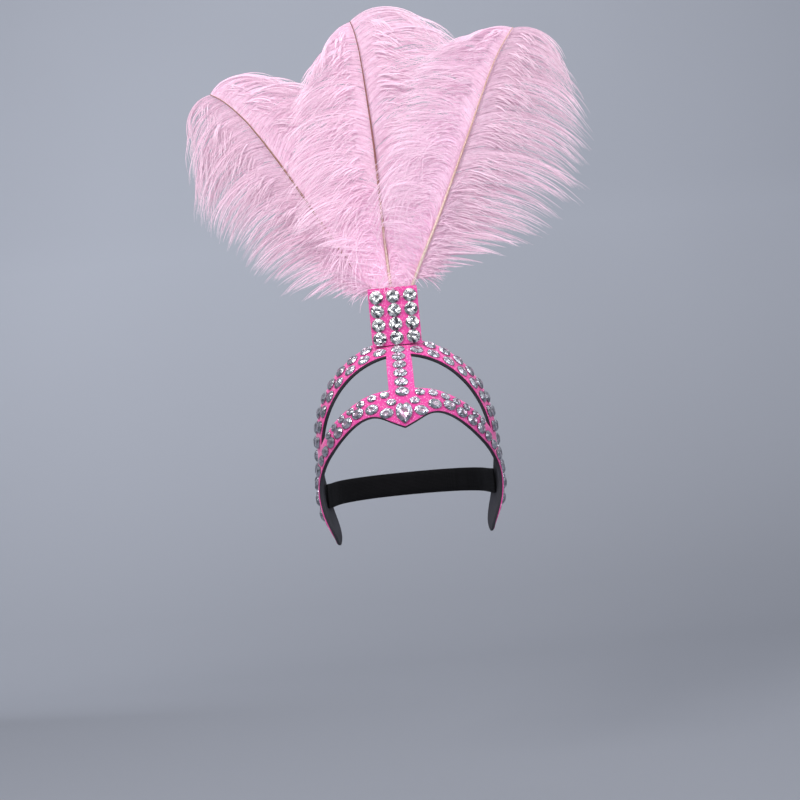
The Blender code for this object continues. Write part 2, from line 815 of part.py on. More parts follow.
def build_strap(foam, finish, group):
    """A flat elastic ribbon glued inside both tabs, all the way round the back."""
    line = strap_line(foam)
    points, faces = [], []
    half = Vector((0.0, 0.0, STRAP_WIDTH / 2))
    for point in line:
        points += [point - half, point + half]
    for step in range(len(line) - 1):
        a = 2 * step
        faces.append((a, a + 2, a + 3, a + 1))
    strap = add_object("strap", mesh_of("strap", points, faces), finish, group)
    wall = strap.modifiers.new("wall", "SOLIDIFY")
    wall.thickness = STRAP_THICKNESS
    wall.offset = 0.0
    wall.use_even_offset = True


# Plumes


def plume_depth(plume, height):
    """Plumes share the pocket's plane, then part into layers above the holder."""
    rise = min(max(height - holder_foot() - HOLDER_HEIGHT, 0.0) / LAYER_RAMP, 1.0)
    return POCKET_MIDDLE + plume["layer"] * PLUME_LAYER * math.sin(rise * math.pi / 2)


def quill_line(plume):
    """The quill as smooth points, in metres."""
    line = []
    for across, up in smooth_rows(plume["quill"], QUILL_STEPS):
        height = holder_foot() + QUILL_STANDOFF + up * PLUME_RISE
        line.append(Vector((across * PLUME_SPREAD, plume_depth(plume, height), height)))
    return line


def quill_radius(share):
    return QUILL_RADIUS * between(1.0, QUILL_TIP_SHARE, share)


def build_quill(side, plume, finish, group):
    """A tapering shaft: a curve made a mesh, with its caps welded."""
    line = quill_line(plume)
    total = line_length(line)
    curve = bpy.data.curves.new(f"quill_{side}_path", "CURVE")
    curve.dimensions = "3D"
    curve.bevel_depth = 1.0
    curve.bevel_resolution = QUILL_SIDES
    curve.use_fill_caps = True
    spline = curve.splines.new("POLY")
    spline.points.add(len(line) - 1)
    for index, point in enumerate(line):
        spline.points[index].co = (*point, 1.0)
        spline.points[index].radius = quill_radius(line_length(line[: index + 1]) / total)
    path = bpy.data.objects.new(curve.name, curve)
    group.objects.link(path)
    bpy.context.view_layer.update()
    evaluated = path.evaluated_get(bpy.context.evaluated_depsgraph_get())
    mesh = bpy.data.meshes.new_from_object(evaluated)
    mesh.name = f"quill_{side}"
    shape = bmesh.new()
    shape.from_mesh(mesh)
    bmesh.ops.remove_doubles(shape, verts=shape.verts, dist=1e-6)
    shape.to_mesh(mesh)
    shape.free()
    mesh.materials.clear()
    add_object(f"quill_{side}", mesh, finish, group)
    bpy.data.objects.remove(path)


def barb_row(rows, share):
    for low, high in zip(rows, rows[1:]):
        if share <= high[0]:
            part = (share - low[0]) / (high[0] - low[0])
            return [between(a, b, part) for a, b in zip(low, high)]
    return list(rows[-1])


def barb_point(line, total, plume, share, side, along, sweep):
    """A point of the barb that leaves the vane at this share: an arc that droops away from the tip."""
    start = plume["vane_start"] * total
    at = between(start, total, share)
    root = line_point(line, at)
    reach = BARB_RUN_REACH * (total - start)
    run = line_point(line, min(at + reach, total)) - line_point(line, max(at - reach, 0.0))
    run.y = 0.0
    run.normalize()
    out = Vector((run.z, 0.0, -run.x)) * side
    row = barb_row(plume["barbs"], share)
    length, leave, bend = row[4:7] if side > 0 else row[1:4]
    length *= PLUME_SPREAD * along
    leave, bend = math.radians(leave), math.radians(bend) * along
    if along == 0.0:
        return root
    ahead = length / bend * (math.sin(leave + bend) - math.sin(leave))
    away = length / bend * (math.cos(leave) - math.cos(leave + bend))
    depth = Vector((0.0, sweep * share * along**2, 0.0))
    return root + run * ahead + out * away + depth


def build_plume(side_name, plume, finish, group):
    """Locks of barbs on both sides of a root strip that lies just behind the quill."""
    line = quill_line(plume)
    total = line_length(line)
    start = plume["vane_start"]
    stations = []
    for lock in range(LOCKS_PER_SIDE):
        stations += [lock / LOCKS_PER_SIDE, (lock + LOCK_FILL) / LOCKS_PER_SIDE]
    behind = Vector((0.0, QUILL_RADIUS + VANE_GAP + LOCK_THICKNESS / 2, 0.0))
    points, faces = [], []
    for share in stations:
        at = between(start, 1.0, share) * total
        root = line_point(line, at)
        run = line_point(line, min(at + 0.004, total)) - line_point(line, at - 0.004)
        out = Vector((run.z, 0.0, -run.x)).normalized() * ROOT_STRIP_HALF
        points += [root - out + behind, root + out + behind]
    for step in range(len(stations) - 1):
        a = 2 * step
        faces.append((a, a + 1, a + 3, a + 2))
    for lock in range(LOCKS_PER_SIDE):
        low, high = stations[2 * lock], stations[2 * lock + 1]
        sweep = LOCK_SWEEP if lock % 2 else -LOCK_SWEEP * 0.5
        for side, edge in ((-1, 0), (1, 1)):
            near, far = 4 * lock + edge, 4 * lock + 2 + edge
            for step in range(1, LOCK_STEPS + 1):
                along = step / LOCK_STEPS
                a = barb_point(line, total, plume, low, side, along, sweep) + behind
                b = barb_point(line, total, plume, high, side, along, sweep) + behind
                index = len(points)
                if step == LOCK_STEPS:
                    points.append((a + b) / 2)
                    corners = (near, far, index)
                else:
                    points += [a, b]
                    corners = (near, far, index + 1, index)
                faces.append(corners if side < 0 else corners[::-1])
                near, far = index, index + 1
    mesh = mesh_of(f"plume_{side_name}", points, faces)
    outward(mesh)
    vane = add_object(f"plume_{side_name}", mesh, finish, group)
    wall = vane.modifiers.new("wall", "SOLIDIFY")
    wall.thickness = LOCK_THICKNESS
    wall.offset = 0.0


def build_plumes(shaft, feather, group):
    for side_name, plume in PLUMES.items():
        build_quill(side_name, plume, shaft, group)
        build_plume(side_name, plume, feather, group)


def main():
    clear_scene()
    felt = material("pink_felt", (0.80, 0.075, 0.36), 0.85)
    foam = material("dark_foam", (0.030, 0.030, 0.036), 0.80)
    glass = material("cut_glass", (0.80, 0.82, 0.86), 0.06, metallic=0.6)
    elastic = material("black_elastic", (0.008, 0.008, 0.010), 0.85)
    feather = material("pink_feather", (0.86, 0.52, 0.68), 0.70)
    shaft = material("feather_shaft", (0.42, 0.25, 0.17), 0.55)
    group = collection("feather_headdress")
    helpers = collection("row_stones", hidden=True)
    backing = build_frame_layer("frame_backing", 0.0, FOAM, False, foam, group)
    facing = build_frame_layer("frame_facing", GLUE_GAP, FELT, True, felt, group)
    solids = bpy.context.evaluated_depsgraph_get()
    surface = BVHTree.FromObject(facing, solids)
    build_holder(felt, foam, group)
    build_strap(BVHTree.FromObject(backing, solids), elastic, group)
    strips = frame_strips()
    build_holder_stones(glass, group)
    build_centre_stones(surface, glass, group)
    build_brow_stones(strips["brow"], surface, glass, group)
    rows = (
        # kind, strip, counted from the rear edge
        ("tab_row", strips["brow"], False),
        ("tab_middle_row", tab_stations(), False),
        ("arch_front_row", strips["arch"], False),
        ("arch_rear_row", strips["arch"], True),
        ("brow_row", strips["brow"], True),
    )
    for side in ("left", "right"):
        for kind, strip, rear in rows:
            build_stone_row(kind, side, strip, rear, surface, glass, group, helpers)
    build_plumes(shaft, feather, group)


if __name__ == "__main__":
    main()
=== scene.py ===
"""Carnival feather headdress, dressed for its picture.

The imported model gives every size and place. Here the frame's felt and foam and the strap are smoothed, the
stones are cut in facets, the shafts get their two tones, and the plumes get their barbs, hairs and down.
"""

import math

import bmesh
import bpy
import numpy as np
from mathutils import Matrix, Vector


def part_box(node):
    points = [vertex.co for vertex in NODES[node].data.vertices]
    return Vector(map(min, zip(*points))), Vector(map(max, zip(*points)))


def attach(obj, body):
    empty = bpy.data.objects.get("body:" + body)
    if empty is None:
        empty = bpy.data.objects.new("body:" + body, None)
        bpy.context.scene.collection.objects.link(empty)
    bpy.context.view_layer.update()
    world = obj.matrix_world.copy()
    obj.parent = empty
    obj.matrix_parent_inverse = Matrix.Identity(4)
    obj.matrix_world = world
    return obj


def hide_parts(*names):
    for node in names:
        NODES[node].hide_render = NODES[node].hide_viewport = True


bl_info = {
    "name": "Feather Headdress",
    "version": (1, 0, 0),
    "blender": (4, 5, 0),
    "location": "View3D > Sidebar > Headdress",
    "description": "Felt and foam headdress frame with cut stones, an elastic strap and three ostrich plumes",
    "category": "Add Mesh",
}

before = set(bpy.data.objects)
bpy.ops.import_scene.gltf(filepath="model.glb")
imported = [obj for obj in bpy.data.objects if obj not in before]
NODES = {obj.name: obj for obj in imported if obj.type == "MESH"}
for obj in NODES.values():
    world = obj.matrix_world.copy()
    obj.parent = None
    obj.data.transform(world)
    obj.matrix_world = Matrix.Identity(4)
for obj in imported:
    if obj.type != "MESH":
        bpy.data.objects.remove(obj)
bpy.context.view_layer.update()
ROOT = "root"

# The camera: its place in metres, its lens and sensor in millimetres, and its roll in degrees
CAMERA_PLACE = (-0.0027, -1.442, 0.079)
CAMERA_LENS = 63.0
CAMERA_SENSOR = 36.0
CAMERA_ROLL = -5.5

# The paper sweep, in metres: half its width, its front edge, where it starts to rise, the radius of its bend
# and its top above the floor
SWEEP_HALF_WIDTH = 4.5
SWEEP_FRONT = -3.5
SWEEP_FOOT = 0.9
SWEEP_BEND = 0.9
SWEEP_TOP = 4.0

# The lights: name, place, the point that it is aimed at, size, power and colour
LIGHTS = (
    ("key", (-1.1, -1.7, 1.5), (0.0, 0.3, 0.15), 0.9, 42.0, (1.0, 0.985, 0.97)),
    ("fill", (1.6, -1.5, 0.7), (0.0, 0.3, 0.15), 1.3, 17.0, (0.96, 0.98, 1.0)),
    ("top", (0.1, 0.2, 1.9), (0.0, 0.3, 0.15), 0.9, 22.0, (1.0, 1.0, 1.0)),
    ("wall", (-0.9, 0.6, 0.2), (-0.6, 1.8, 0.6), 0.8, 5.0, (0.95, 0.97, 1.0)),
)

# The plumes. Shares of a shaft or a vane run from its foot to its tip, and pairs are the left and right side.
# Lengths are shares of the spread, angles are in degrees, and depths are in metres, negative to the front.
#   vane_start: the share of the shaft where the vane begins
#   lean: how far the barbs' tips stand back
#   tones: how far each side is drawn to the deep colour
#   shades: how bright each side is
#   down: the lowest share of each side's down, and how far it stands back
#   drapes: barbs that hook over and hang down, as side (-1 or 1), first share, last share, strands, length,
#       leaving angle and bend
#   barbs: share, then length, leaving angle and bend on the left, and the same on the right
PLUME_SPREAD = 0.1660
PLUMES = {
    "left": {
        "vane_start": 0.165,
        "lean": -0.008,
        "tones": (-0.12, 0.10),
        "shades": (0.76, 0.86),
        "down": (-0.01, -0.09, -0.0035),
        "drapes": ((1, -0.08, 0.08, 90, 0.16, -22, 55),),
        "barbs": (
            (0.00, 0.145, 62, 20, 0.110, 56, 30),
            (0.10, 0.395, 52, 40, 0.300, 50, 30),
            (0.25, 0.500, 47, 66, 0.460, 42, 50),
            (0.45, 0.535, 52, 78, 0.670, 40, 70),
            (0.65, 0.615, 59, 85, 0.715, 47, 82),
            (0.82, 0.630, 68, 82, 0.594, 76, 90),
            (0.94, 0.480, 54, 94, 0.468, 91, 90),
            (1.00, 0.330, 40, 106, 0.372, 92, 92),
        ),
    },
    "centre": {
        "vane_start": 0.172,
        "lean": -0.012,
        "tones": (0.0, 0.10),
        "shades": (0.87, 0.84),
        "down": (-0.05, -0.05, 0.0),
        "drapes": ((-1, 0.12, 0.34, 150, 0.54, 42, 120), (1, 0.02, 0.12, 50, 0.24, 40, 110)),
        "barbs": (
            (0.00, 0.140, 64, 12, 0.133, 60, 12),
            (0.12, 0.400, 56, 50, 0.300, 50, 45),
            (0.28, 0.600, 52, 98, 0.520, 48, 70),
            (0.48, 0.610, 48, 98, 0.660, 43, 75),
            (0.68, 0.515, 50, 96, 0.700, 42, 84),
            (0.84, 0.440, 62, 92, 0.672, 47, 101),
            (0.94, 0.398, 77, 88, 0.640, 58, 109),
            (1.00, 0.336, 89, 80, 0.530, 65, 118),
        ),
    },
    "right": {
        "vane_start": 0.178,
        "lean": -0.014,
        "tones": (0.35, -0.10),
        "shades": (0.86, 0.73),
        "down": (-0.08, 0.01, 0.0),
        "drapes": ((-1, 0.26, 0.58, 210, 0.70, 25, 152),),
        "barbs": (
            (0.00, 0.120, 50, 30, 0.150, 66, 10),
            (0.10, 0.310, 38, 90, 0.375, 63, 18),
            (0.25, 0.400, 35, 120, 0.610, 58, 46),
            (0.45, 0.490, 38, 108, 0.738, 50, 66),
            (0.65, 0.510, 46, 94, 0.692, 45, 83),
            (0.82, 0.455, 64, 87, 0.612, 42, 96),
            (0.94, 0.366, 91, 76, 0.462, 44, 94),
            (1.00, 0.292, 107, 68, 0.350, 45, 90),
        ),
    },
}

# How a vane is filled: kind, strands on a side, steps, full width, length, how much the angles vary,
# how closely tips are drawn into locks, and tint from 0, deep, to 1, pale
STRAND_LAYERS = (
    ("barb", 260, 16, 0.00100, 1.02, 0.04, 0.93, 0.15),
    ("hair", 850, 12, 0.00036, 1.00, 0.05, 0.90, 0.40),
    ("under", 420, 8, 0.00120, 0.46, 0.06, 0.15, 0.00),
)

# Kinds whose strands end at any length between these shares of their own
RAGGED = {"hair": (0.60, 1.01), "under": (0.60, 1.20)}

# Shares of the vane, and how much strands vary there: less at the crown, whose edge is smooth
CALM = ((0.0, 0.80, 0.95, 1.0), (1.0, 1.0, 0.35, 0.25))

# Short hairs on the strands, as how many on each step, length and width. The number on a barb is a setting
TUFTS = {"under": (4, 0.0050, 0.00025), "drape": (6, 0.0050, 0.00022), "down": (3, 0.0060, 0.00028)}
BARB_TUFT = (0.0042, 0.00022)

# Locks on each side of a vane: their number, the most that each turns and curls in degrees, how far they and
# each strand stand before and behind each other, and the turn from one lock's depth to the next
LOCKS = 56
LOCK_TURN = 1.6
LOCK_CURL = 4.0
LOCK_DEPTH = 0.013
STRAND_DEPTH = 0.0015
GOLDEN_TURN = 2.39996

# A strand's tint: how far it goes from deep to pale up the vane, out along itself, in patches and by chance,
# how whitish its tip gets, and how much painted light brightens the vane at its foot, against the shade of
# its dense strands there, and over what share of it
TINT_UP = 0.5
TINT_OUT = 0.25
TINT_PATCH = 0.16
TINT_CHANCE = 0.14
TIP_WHITE = 0.9
FOOT_PAINTED_LIGHT = 0.12
FOOT_PAINTED_LIGHT_SHARE = 0.30

# How far the vane stands behind the shaft's middle, and the under-barbs behind the vane
VANE_BEHIND = 0.0022
UNDER_BEHIND = 0.0035

# The width of drapes and down, and a drape's steps and how sharply it bends at its root
SOFT_WIDTH = 0.0008
DRAPE_STEPS = 16
DRAPE_HOOK = 2.2

# The down on each side: hairs, steps, length, reach up the vane, leaving angles low and high, and bend
DOWN_HAIRS = 600
DOWN_STEPS = 6
DOWN_LENGTH = 0.026
DOWN_REACH = 0.34
DOWN_LEAVE = (48, 52)
DOWN_BEND = 25

# The shafts: radius at the foot, the tip's share of it, steps, where the low colour starts to turn and over
# what share of the height, how far sideways a point faces where the flanks' painted shade starts and over
# what range it comes in, and the colours low down, higher up and on the low part's flanks, which are painted
# darker as shade on the sides of the round shaft
SHAFT_RADIUS = 0.0019
SHAFT_TIP_SHARE = 0.26
SHAFT_STEPS = 60
SHAFT_LOW, SHAFT_BLEND = 0.22, 0.35
FLANK_SHADE_START, FLANK_SHADE_BLEND = 0.45, 0.35
SHAFT_TONES = {
    "left": ((0.62, 0.37, 0.28), (0.34, 0.18, 0.135), (0.50, 0.28, 0.21)),
    "centre": ((0.90, 0.74, 0.64), (0.27, 0.095, 0.085), (0.42, 0.19, 0.14)),
    "right": ((0.93, 0.80, 0.72), (0.66, 0.42, 0.35), (0.80, 0.60, 0.50)),
}

# The least step up a shaft from one ring of its solid to the next
RING_STEP = 0.0022

# How far the felt's lower rims stay back from the foam's, how sharp the edges of a rim are, and the tilt from
# which a rim counts as a lower one
FELT_TRIM = 0.0013
RIM_ANGLE = math.radians(60)
RIM_TILT = -0.3

# Fine copies: levels of subdivision, and the angle and strength of the edges that stay crisp
FINE_LEVELS = 2
CRISP_ANGLE = math.radians(40)
CRISP_STRENGTH = 0.92

# Stones: sides of a round or oval one, its rings as rise, size after and turn in steps, the table's share of
# the width, the steepest facet beside a table in degrees, and height as a share of length
GEM_SIDES = 16
GEM_RINGS = (
    (0.26, 1.00, 0.0),
    (0.34, 0.82, 0.5),
    (0.26, 0.76, 0.5),
    (0.14, 0.80, 0.5),
)
TABLE_SHARE = 0.55
STONE_STEEPEST = 62.0
HEART_STEEPEST = 84.0
STONE_HEIGHT = 0.23
HOLDER_STONE_HEIGHT = 0.31

# The glasses: dark and light grey of the painted reflections in the foil's facets, roughness, and how much
# painted pink reflection the middle takes
ROUND_GLASS = ((0.04, 0.045, 0.06), (1.0, 1.0, 1.0), 0.06, 0.0)
OVAL_GLASS = ((0.17, 0.18, 0.215), (0.50, 0.51, 0.58), 0.20, 0.40)
HEART_GLASS = ((0.12, 0.12, 0.15), (0.38, 0.38, 0.44), 0.22, 1.0)

# The heart's outline: points, weights of the cosines of its turn, the reach they add up to, and how slim its
# sides are
HEART_SIDES = 28
HEART_CURVE = (1.2, 13.0, -1.5, -1.6, -0.8)
HEART_CURVE_REACH = 12.5
HEART_SIDE_POWER = 1.2


# Small helpers


def deselect():
    if bpy.context.mode != "OBJECT":
        bpy.ops.object.mode_set(mode="OBJECT")
    bpy.ops.object.select_all(action="DESELECT")


def make_active(piece):
    deselect()
    piece.select_set(True)
    bpy.context.view_layer.objects.active = piece


def look():
    return bpy.context.scene.headdress_look


def settle(piece, slot, material, *nodes):
    """Gives a finished piece its material and body, and hides the solids that it stands for. The slot is not
    used.
    """
    piece.data.materials.clear()
    piece.data.materials.append(material)
    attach(piece, ROOT)
    if nodes:
        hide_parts(*nodes)


def mesh_piece(name, vertices, faces):
    mesh = bpy.data.meshes.new(name)
    mesh.from_pydata([tuple(v) for v in vertices], [], faces)
    piece = bpy.data.objects.new(name, mesh)
    bpy.context.scene.collection.objects.link(piece)
    return piece


# Shader building


def new_material(name):
    material = bpy.data.materials.new(name)
    material.use_nodes = True
    tree = material.node_tree
    return material, tree, tree.nodes["Principled BSDF"]


def add_node(tree, kind, **settings):
    node = tree.nodes.new(kind)
    for key, value in settings.items():
        setattr(node, key, value)
    return node


def feed(tree, socket, value):
    """Sets a socket to another socket, a number or a colour."""
    if isinstance(value, bpy.types.NodeSocket):
        tree.links.new(value, socket)
    elif isinstance(value, (int, float)):
        socket.default_value = value
    else:
        socket.default_value = (*value[:3], 1.0)


def math_node(tree, operation, *values):
    node = add_node(tree, "ShaderNodeMath", operation=operation)
    for socket, value in zip(node.inputs, values):
        feed(tree, socket, value)
    return node.outputs[0]


def mix_colours(tree, share, first, second, blend="MIX"):
    node = add_node(tree, "ShaderNodeMix", data_type="RGBA", blend_type=blend)
    for index, value in ((0, share), (6, first), (7, second)):
        feed(tree, node.inputs[index], value)
    return node.outputs[2]


def noise(tree, vector, scale, detail):
    node = add_node(tree, "ShaderNodeTexNoise")
    node.inputs["Scale"].default_value = scale
    node.inputs["Detail"].default_value = detail
    tree.links.new(vector, node.inputs["Vector"])
    return node.outputs["Fac"]


def voronoi(tree, vector, scale):
    """Each cell's distance, and the red and green of its chance colour."""
    node = add_node(tree, "ShaderNodeTexVoronoi")
    node.inputs["Scale"].default_value = scale
    tree.links.new(vector, node.inputs["Vector"])
    chance = add_node(tree, "ShaderNodeSeparateColor")
    tree.links.new(node.outputs["Color"], chance.inputs["Color"])
    return node.outputs["Distance"], chance.outputs["Red"], chance.outputs["Green"]


def axes(tree, vector):
    node = add_node(tree, "ShaderNodeSeparateXYZ")
    tree.links.new(vector, node.inputs[0])
    return node.outputs["X"], node.outputs["Y"], node.outputs["Z"]


def ramp(tree, value, low, high):
    node = add_node(tree, "ShaderNodeMapRange", clamp=True)
    node.inputs["From Min"].default_value = low
    node.inputs["From Max"].default_value = high
    tree.links.new(value, node.inputs["Value"])
    return node.outputs["Result"]


def bump(tree, height, strength, distance, shader):
    node = add_node(tree, "ShaderNodeBump")
    node.inputs["Strength"].default_value = strength
    node.inputs["Distance"].default_value = distance
    tree.links.new(height, node.inputs["Height"])
    tree.links.new(node.outputs["Normal"], shader.inputs["Normal"])


def object_coordinates(tree):
    return add_node(tree, "ShaderNodeTexCoord").outputs["Object"]


# Effects that several materials share


def node_group(name, sockets):
    """A new shader group with sockets of this name, way and kind: its tree, what it is given, its results."""
    tree = bpy.data.node_groups.new(name, "ShaderNodeTree")
    for label, way, kind in sockets:
        tree.interface.new_socket(name=label, in_out=way, socket_type="NodeSocket" + kind)
    return tree, add_node(tree, "NodeGroupInput").outputs, add_node(tree, "NodeGroupOutput").inputs


def placed_group(tree, name, build, **values):
    """The named group in a material, with this material's own values. It is built the first time."""
    node = add_node(tree, "ShaderNodeGroup")
    node.node_tree = bpy.data.node_groups.get(name) or build()
    for label, value in values.items():
        feed(tree, node.inputs[label], value)
    return node.outputs


def build_mottle():
    """Blotches or streaks: a noise, eased between two limits, blends a dark and a light colour."""
    tree, given, result = node_group("mottle", (
        ("Place", "INPUT", "Vector"),
        ("Scale", "INPUT", "Float"),
        ("Detail", "INPUT", "Float"),
        ("Grit", "INPUT", "Float"),
        ("Low", "INPUT", "Float"),
        ("High", "INPUT", "Float"),
        ("Dark", "INPUT", "Color"),
        ("Light", "INPUT", "Color"),
        ("Colour", "OUTPUT", "Color"),
        ("Noise", "OUTPUT", "Float"),
    ))
    grain = add_node(tree, "ShaderNodeTexNoise")
    ease = add_node(tree, "ShaderNodeMapRange", clamp=True)
    for label, socket in (
        ("Place", grain.inputs["Vector"]),
        ("Scale", grain.inputs["Scale"]),
        ("Detail", grain.inputs["Detail"]),
        ("Grit", grain.inputs["Roughness"]),
        ("Low", ease.inputs["From Min"]),
        ("High", ease.inputs["From Max"]),
    ):
        tree.links.new(given[label], socket)
    tree.links.new(grain.outputs["Fac"], ease.inputs["Value"])
    blend = mix_colours(tree, ease.outputs["Result"], given["Dark"], given["Light"])
    tree.links.new(blend, result["Colour"])
    tree.links.new(grain.outputs["Fac"], result["Noise"])
    return tree


def mottle(tree, place, scale, detail, limits, dark, light, grit=0.5):
    """The mottle group in a material: its colour and its bare noise."""
    low, high = limits
    outputs = placed_group(tree, "mottle", build_mottle, Place=place, Scale=scale, Detail=detail, Grit=grit,
                           Low=low, High=high, Dark=dark, Light=light)
    return outputs["Colour"], outputs["Noise"]


def felt_material(colour):
    """Glittery felt: matted fibres, a soft sheen and tiny bright specks."""
    material, tree, shader = new_material("glitter_felt")
    place = object_coordinates(tree)
    shade, _ = mottle(tree, place, 60.0, 3.0, (0.3, 0.7), [c * 0.80 for c in colour], colour)
    shade, fibres = mottle(tree, place, 900.0, 5.0, (0.35, 0.75), [c * 0.72 for c in colour], shade, grit=0.7)
    _, chance, lift = voronoi(tree, place, 1500.0)
    speck = math_node(tree, "GREATER_THAN", chance, 0.90)
    shade = mix_colours(tree, math_node(tree, "MULTIPLY", speck, 0.55), shade, (1.0, 0.62, 0.82))
    tree.links.new(shade, shader.inputs["Base Color"])
    rough = math_node(tree, "MULTIPLY_ADD", speck, -0.62, 0.88)
    tree.links.new(rough, shader.inputs["Roughness"])
    shader.inputs["Sheen Weight"].default_value = 0.35
    shader.inputs["Sheen Roughness"].default_value = 0.5
    shader.inputs["Specular IOR Level"].default_value = 0.45
    height = math_node(tree, "MULTIPLY_ADD", lift, 0.6, fibres)
    bump(tree, height, 0.45, 0.0004, shader)
    return material


def foam_material(colour):
    """Closed-cell foam: fine pores and a faint mottle."""
    material, tree, shader = new_material("charcoal_foam")
    place = object_coordinates(tree)
    pores, _, _ = voronoi(tree, place, 1400.0)
    dark, light = [c * 0.75 for c in colour], [c * 1.35 for c in colour]
    shade, cloud = mottle(tree, place, 40.0, 4.0, (0.35, 0.7), dark, light)
    tree.links.new(shade, shader.inputs["Base Color"])
    rough = math_node(tree, "MULTIPLY_ADD", cloud, 0.15, 0.68)
    tree.links.new(rough, shader.inputs["Roughness"])
    bump(tree, pores, 0.35, 0.0003, shader)
    return material


def elastic_material(colour):
    """Woven elastic: fine ribs along the band with a cross weave, with painted shade in the grooves and a
    painted highlight on the crests.
    """
    material, tree, shader = new_material("black_elastic")
    place = object_coordinates(tree)
    x, y, z = axes(tree, place)
    ribs = math_node(tree, "SINE", math_node(tree, "MULTIPLY", z, 4200.0))
    weave = math_node(tree, "SINE", math_node(tree, "MULTIPLY", math_node(tree, "ADD", x, y), 5200.0))
    height = math_node(tree, "MULTIPLY_ADD", weave, 0.5, ribs)
    # Painted shade and highlight: the colour is darker in the weave's grooves and lighter on its crests
    dark, light = [c * 0.5 for c in colour], [c * 2.4 for c in colour]
    shade = mix_colours(tree, ramp(tree, height, -1.2, 1.4), dark, light)
    tree.links.new(shade, shader.inputs["Base Color"])
    worn = noise(tree, place, 120.0, 3.0)
    tree.links.new(math_node(tree, "MULTIPLY_ADD", worn, 0.2, 0.70), shader.inputs["Roughness"])
    shader.inputs["Specular IOR Level"].default_value = 0.15
    bump(tree, height, 0.5, 0.0002, shader)
    return material


def shaft_material():
    """Horn-like shaft: cream to brown along its length, with fine streaks."""
    material, tree, shader = new_material("feather_shaft")
    tone = add_node(tree, "ShaderNodeAttribute", attribute_name="tone").outputs["Color"]
    place = object_coordinates(tree)
    shade, streaks = mottle(tree, place, 500.0, 3.0, (0.3, 0.7), (0.72, 0.66, 0.62), (1.0, 1.0, 1.0))
    shade = mix_colours(tree, 1.0, tone, shade, "MULTIPLY")
    tree.links.new(shade, shader.inputs["Base Color"])
    tree.links.new(math_node(tree, "MULTIPLY_ADD", streaks, 0.2, 0.32), shader.inputs["Roughness"])
    shader.inputs["Coat Weight"].default_value = 0.25
    bump(tree, streaks, 0.2, 0.0002, shader)
    return material


def feather_material():
    """Dyed barbs: each strand's own tint, with faint streaks, a silky sheen and a faint painted glow that
    lifts their shade.
    """
    material, tree, shader = new_material("dyed_feather")
    tint = add_node(tree, "ShaderNodeAttribute", attribute_name="tint").outputs["Color"]
    place = object_coordinates(tree)
    shade, streaks = mottle(tree, place, 260.0, 2.0, (0.3, 0.7), (0.93, 0.88, 0.91), (1.0, 1.0, 1.0))
    shade = mix_colours(tree, 1.0, tint, shade, "MULTIPLY")
    tree.links.new(shade, shader.inputs["Base Color"])
    # Painted light: the barbs glow faintly in their own colour, lifting the shade between them as if light
    # passed through
    tree.links.new(shade, shader.inputs["Emission Color"])
    shader.inputs["Emission Strength"].default_value = 0.16
    tree.links.new(math_node(tree, "MULTIPLY_ADD", streaks, 0.2, 0.50), shader.inputs["Roughness"])
    shader.inputs["Sheen Weight"].default_value = 0.25
    shader.inputs["Specular IOR Level"].default_value = 0.30
    return material


def distance_out(tree, across, up):
    squares = [math_node(tree, "MULTIPLY", way, way) for way in (across, up)]
    return math_node(tree, "SQRT", math_node(tree, "ADD", *squares))


def pavilion(tree, across, up, sides, turn):
    """Height of a many-sided pit, from a stone's own coordinates."""
    angle = math_node(tree, "ADD", math_node(tree, "ARCTAN2", up, across), turn)
    step = 2 * math.pi / sides
    sector = math_node(tree, "FLOOR", math_node(tree, "DIVIDE", angle, step))
    middle = math_node(tree, "MULTIPLY", math_node(tree, "ADD", sector, 0.5), step)
    off = math_node(tree, "COSINE", math_node(tree, "SUBTRACT", angle, middle))
    return math_node(tree, "MULTIPLY", distance_out(tree, across, up), off)


def build_cut_with_painted_reflections():
    """A cut stone's foil: a painted reflection in grey for each facet seen in it, a painted pink reflection
    in the middle, and the facets' height.
    """
    tree, given, result = node_group("foiled_cut", (
        ("Place", "INPUT", "Vector"),
        ("Luck", "INPUT", "Float"),
        ("Dark", "INPUT", "Color"),
        ("Light", "INPUT", "Color"),
        ("Blush", "INPUT", "Float"),
        ("Colour", "OUTPUT", "Color"),
        ("Height", "OUTPUT", "Float"),
    ))
    across, up, _ = axes(tree, given["Place"])
    deep = pavilion(tree, across, up, 8, 0.0)
    outer = math_node(tree, "MULTIPLY_ADD", pavilion(tree, across, up, 8, math.pi / 8), 1.45, -0.28)
    facets = math_node(tree, "MAXIMUM", deep, outer)
    gap, chance, _ = voronoi(tree, given["Place"], 2.3)
    broken = math_node(tree, "MULTIPLY_ADD", gap, 0.30, facets)
    # Painted reflections: by chance and the stone's luck, each facet gets a grey from dark to light, as if it
    # mirrored the room
    depth = math_node(tree, "FRACT", math_node(tree, "ADD", chance, given["Luck"]))
    shade = mix_colours(tree, ramp(tree, depth, 0.10, 0.80), given["Dark"], given["Light"])
    # Painted pink reflection in the middle of the stone
    middle = math_node(tree, "SUBTRACT", 1.0, ramp(tree, distance_out(tree, across, up), 0.15, 0.60))
    share = math_node(tree, "MULTIPLY", middle, given["Blush"])
    tree.links.new(mix_colours(tree, share, shade, (0.90, 0.45, 0.66)), result["Colour"])
    tree.links.new(broken, result["Height"])
    return tree


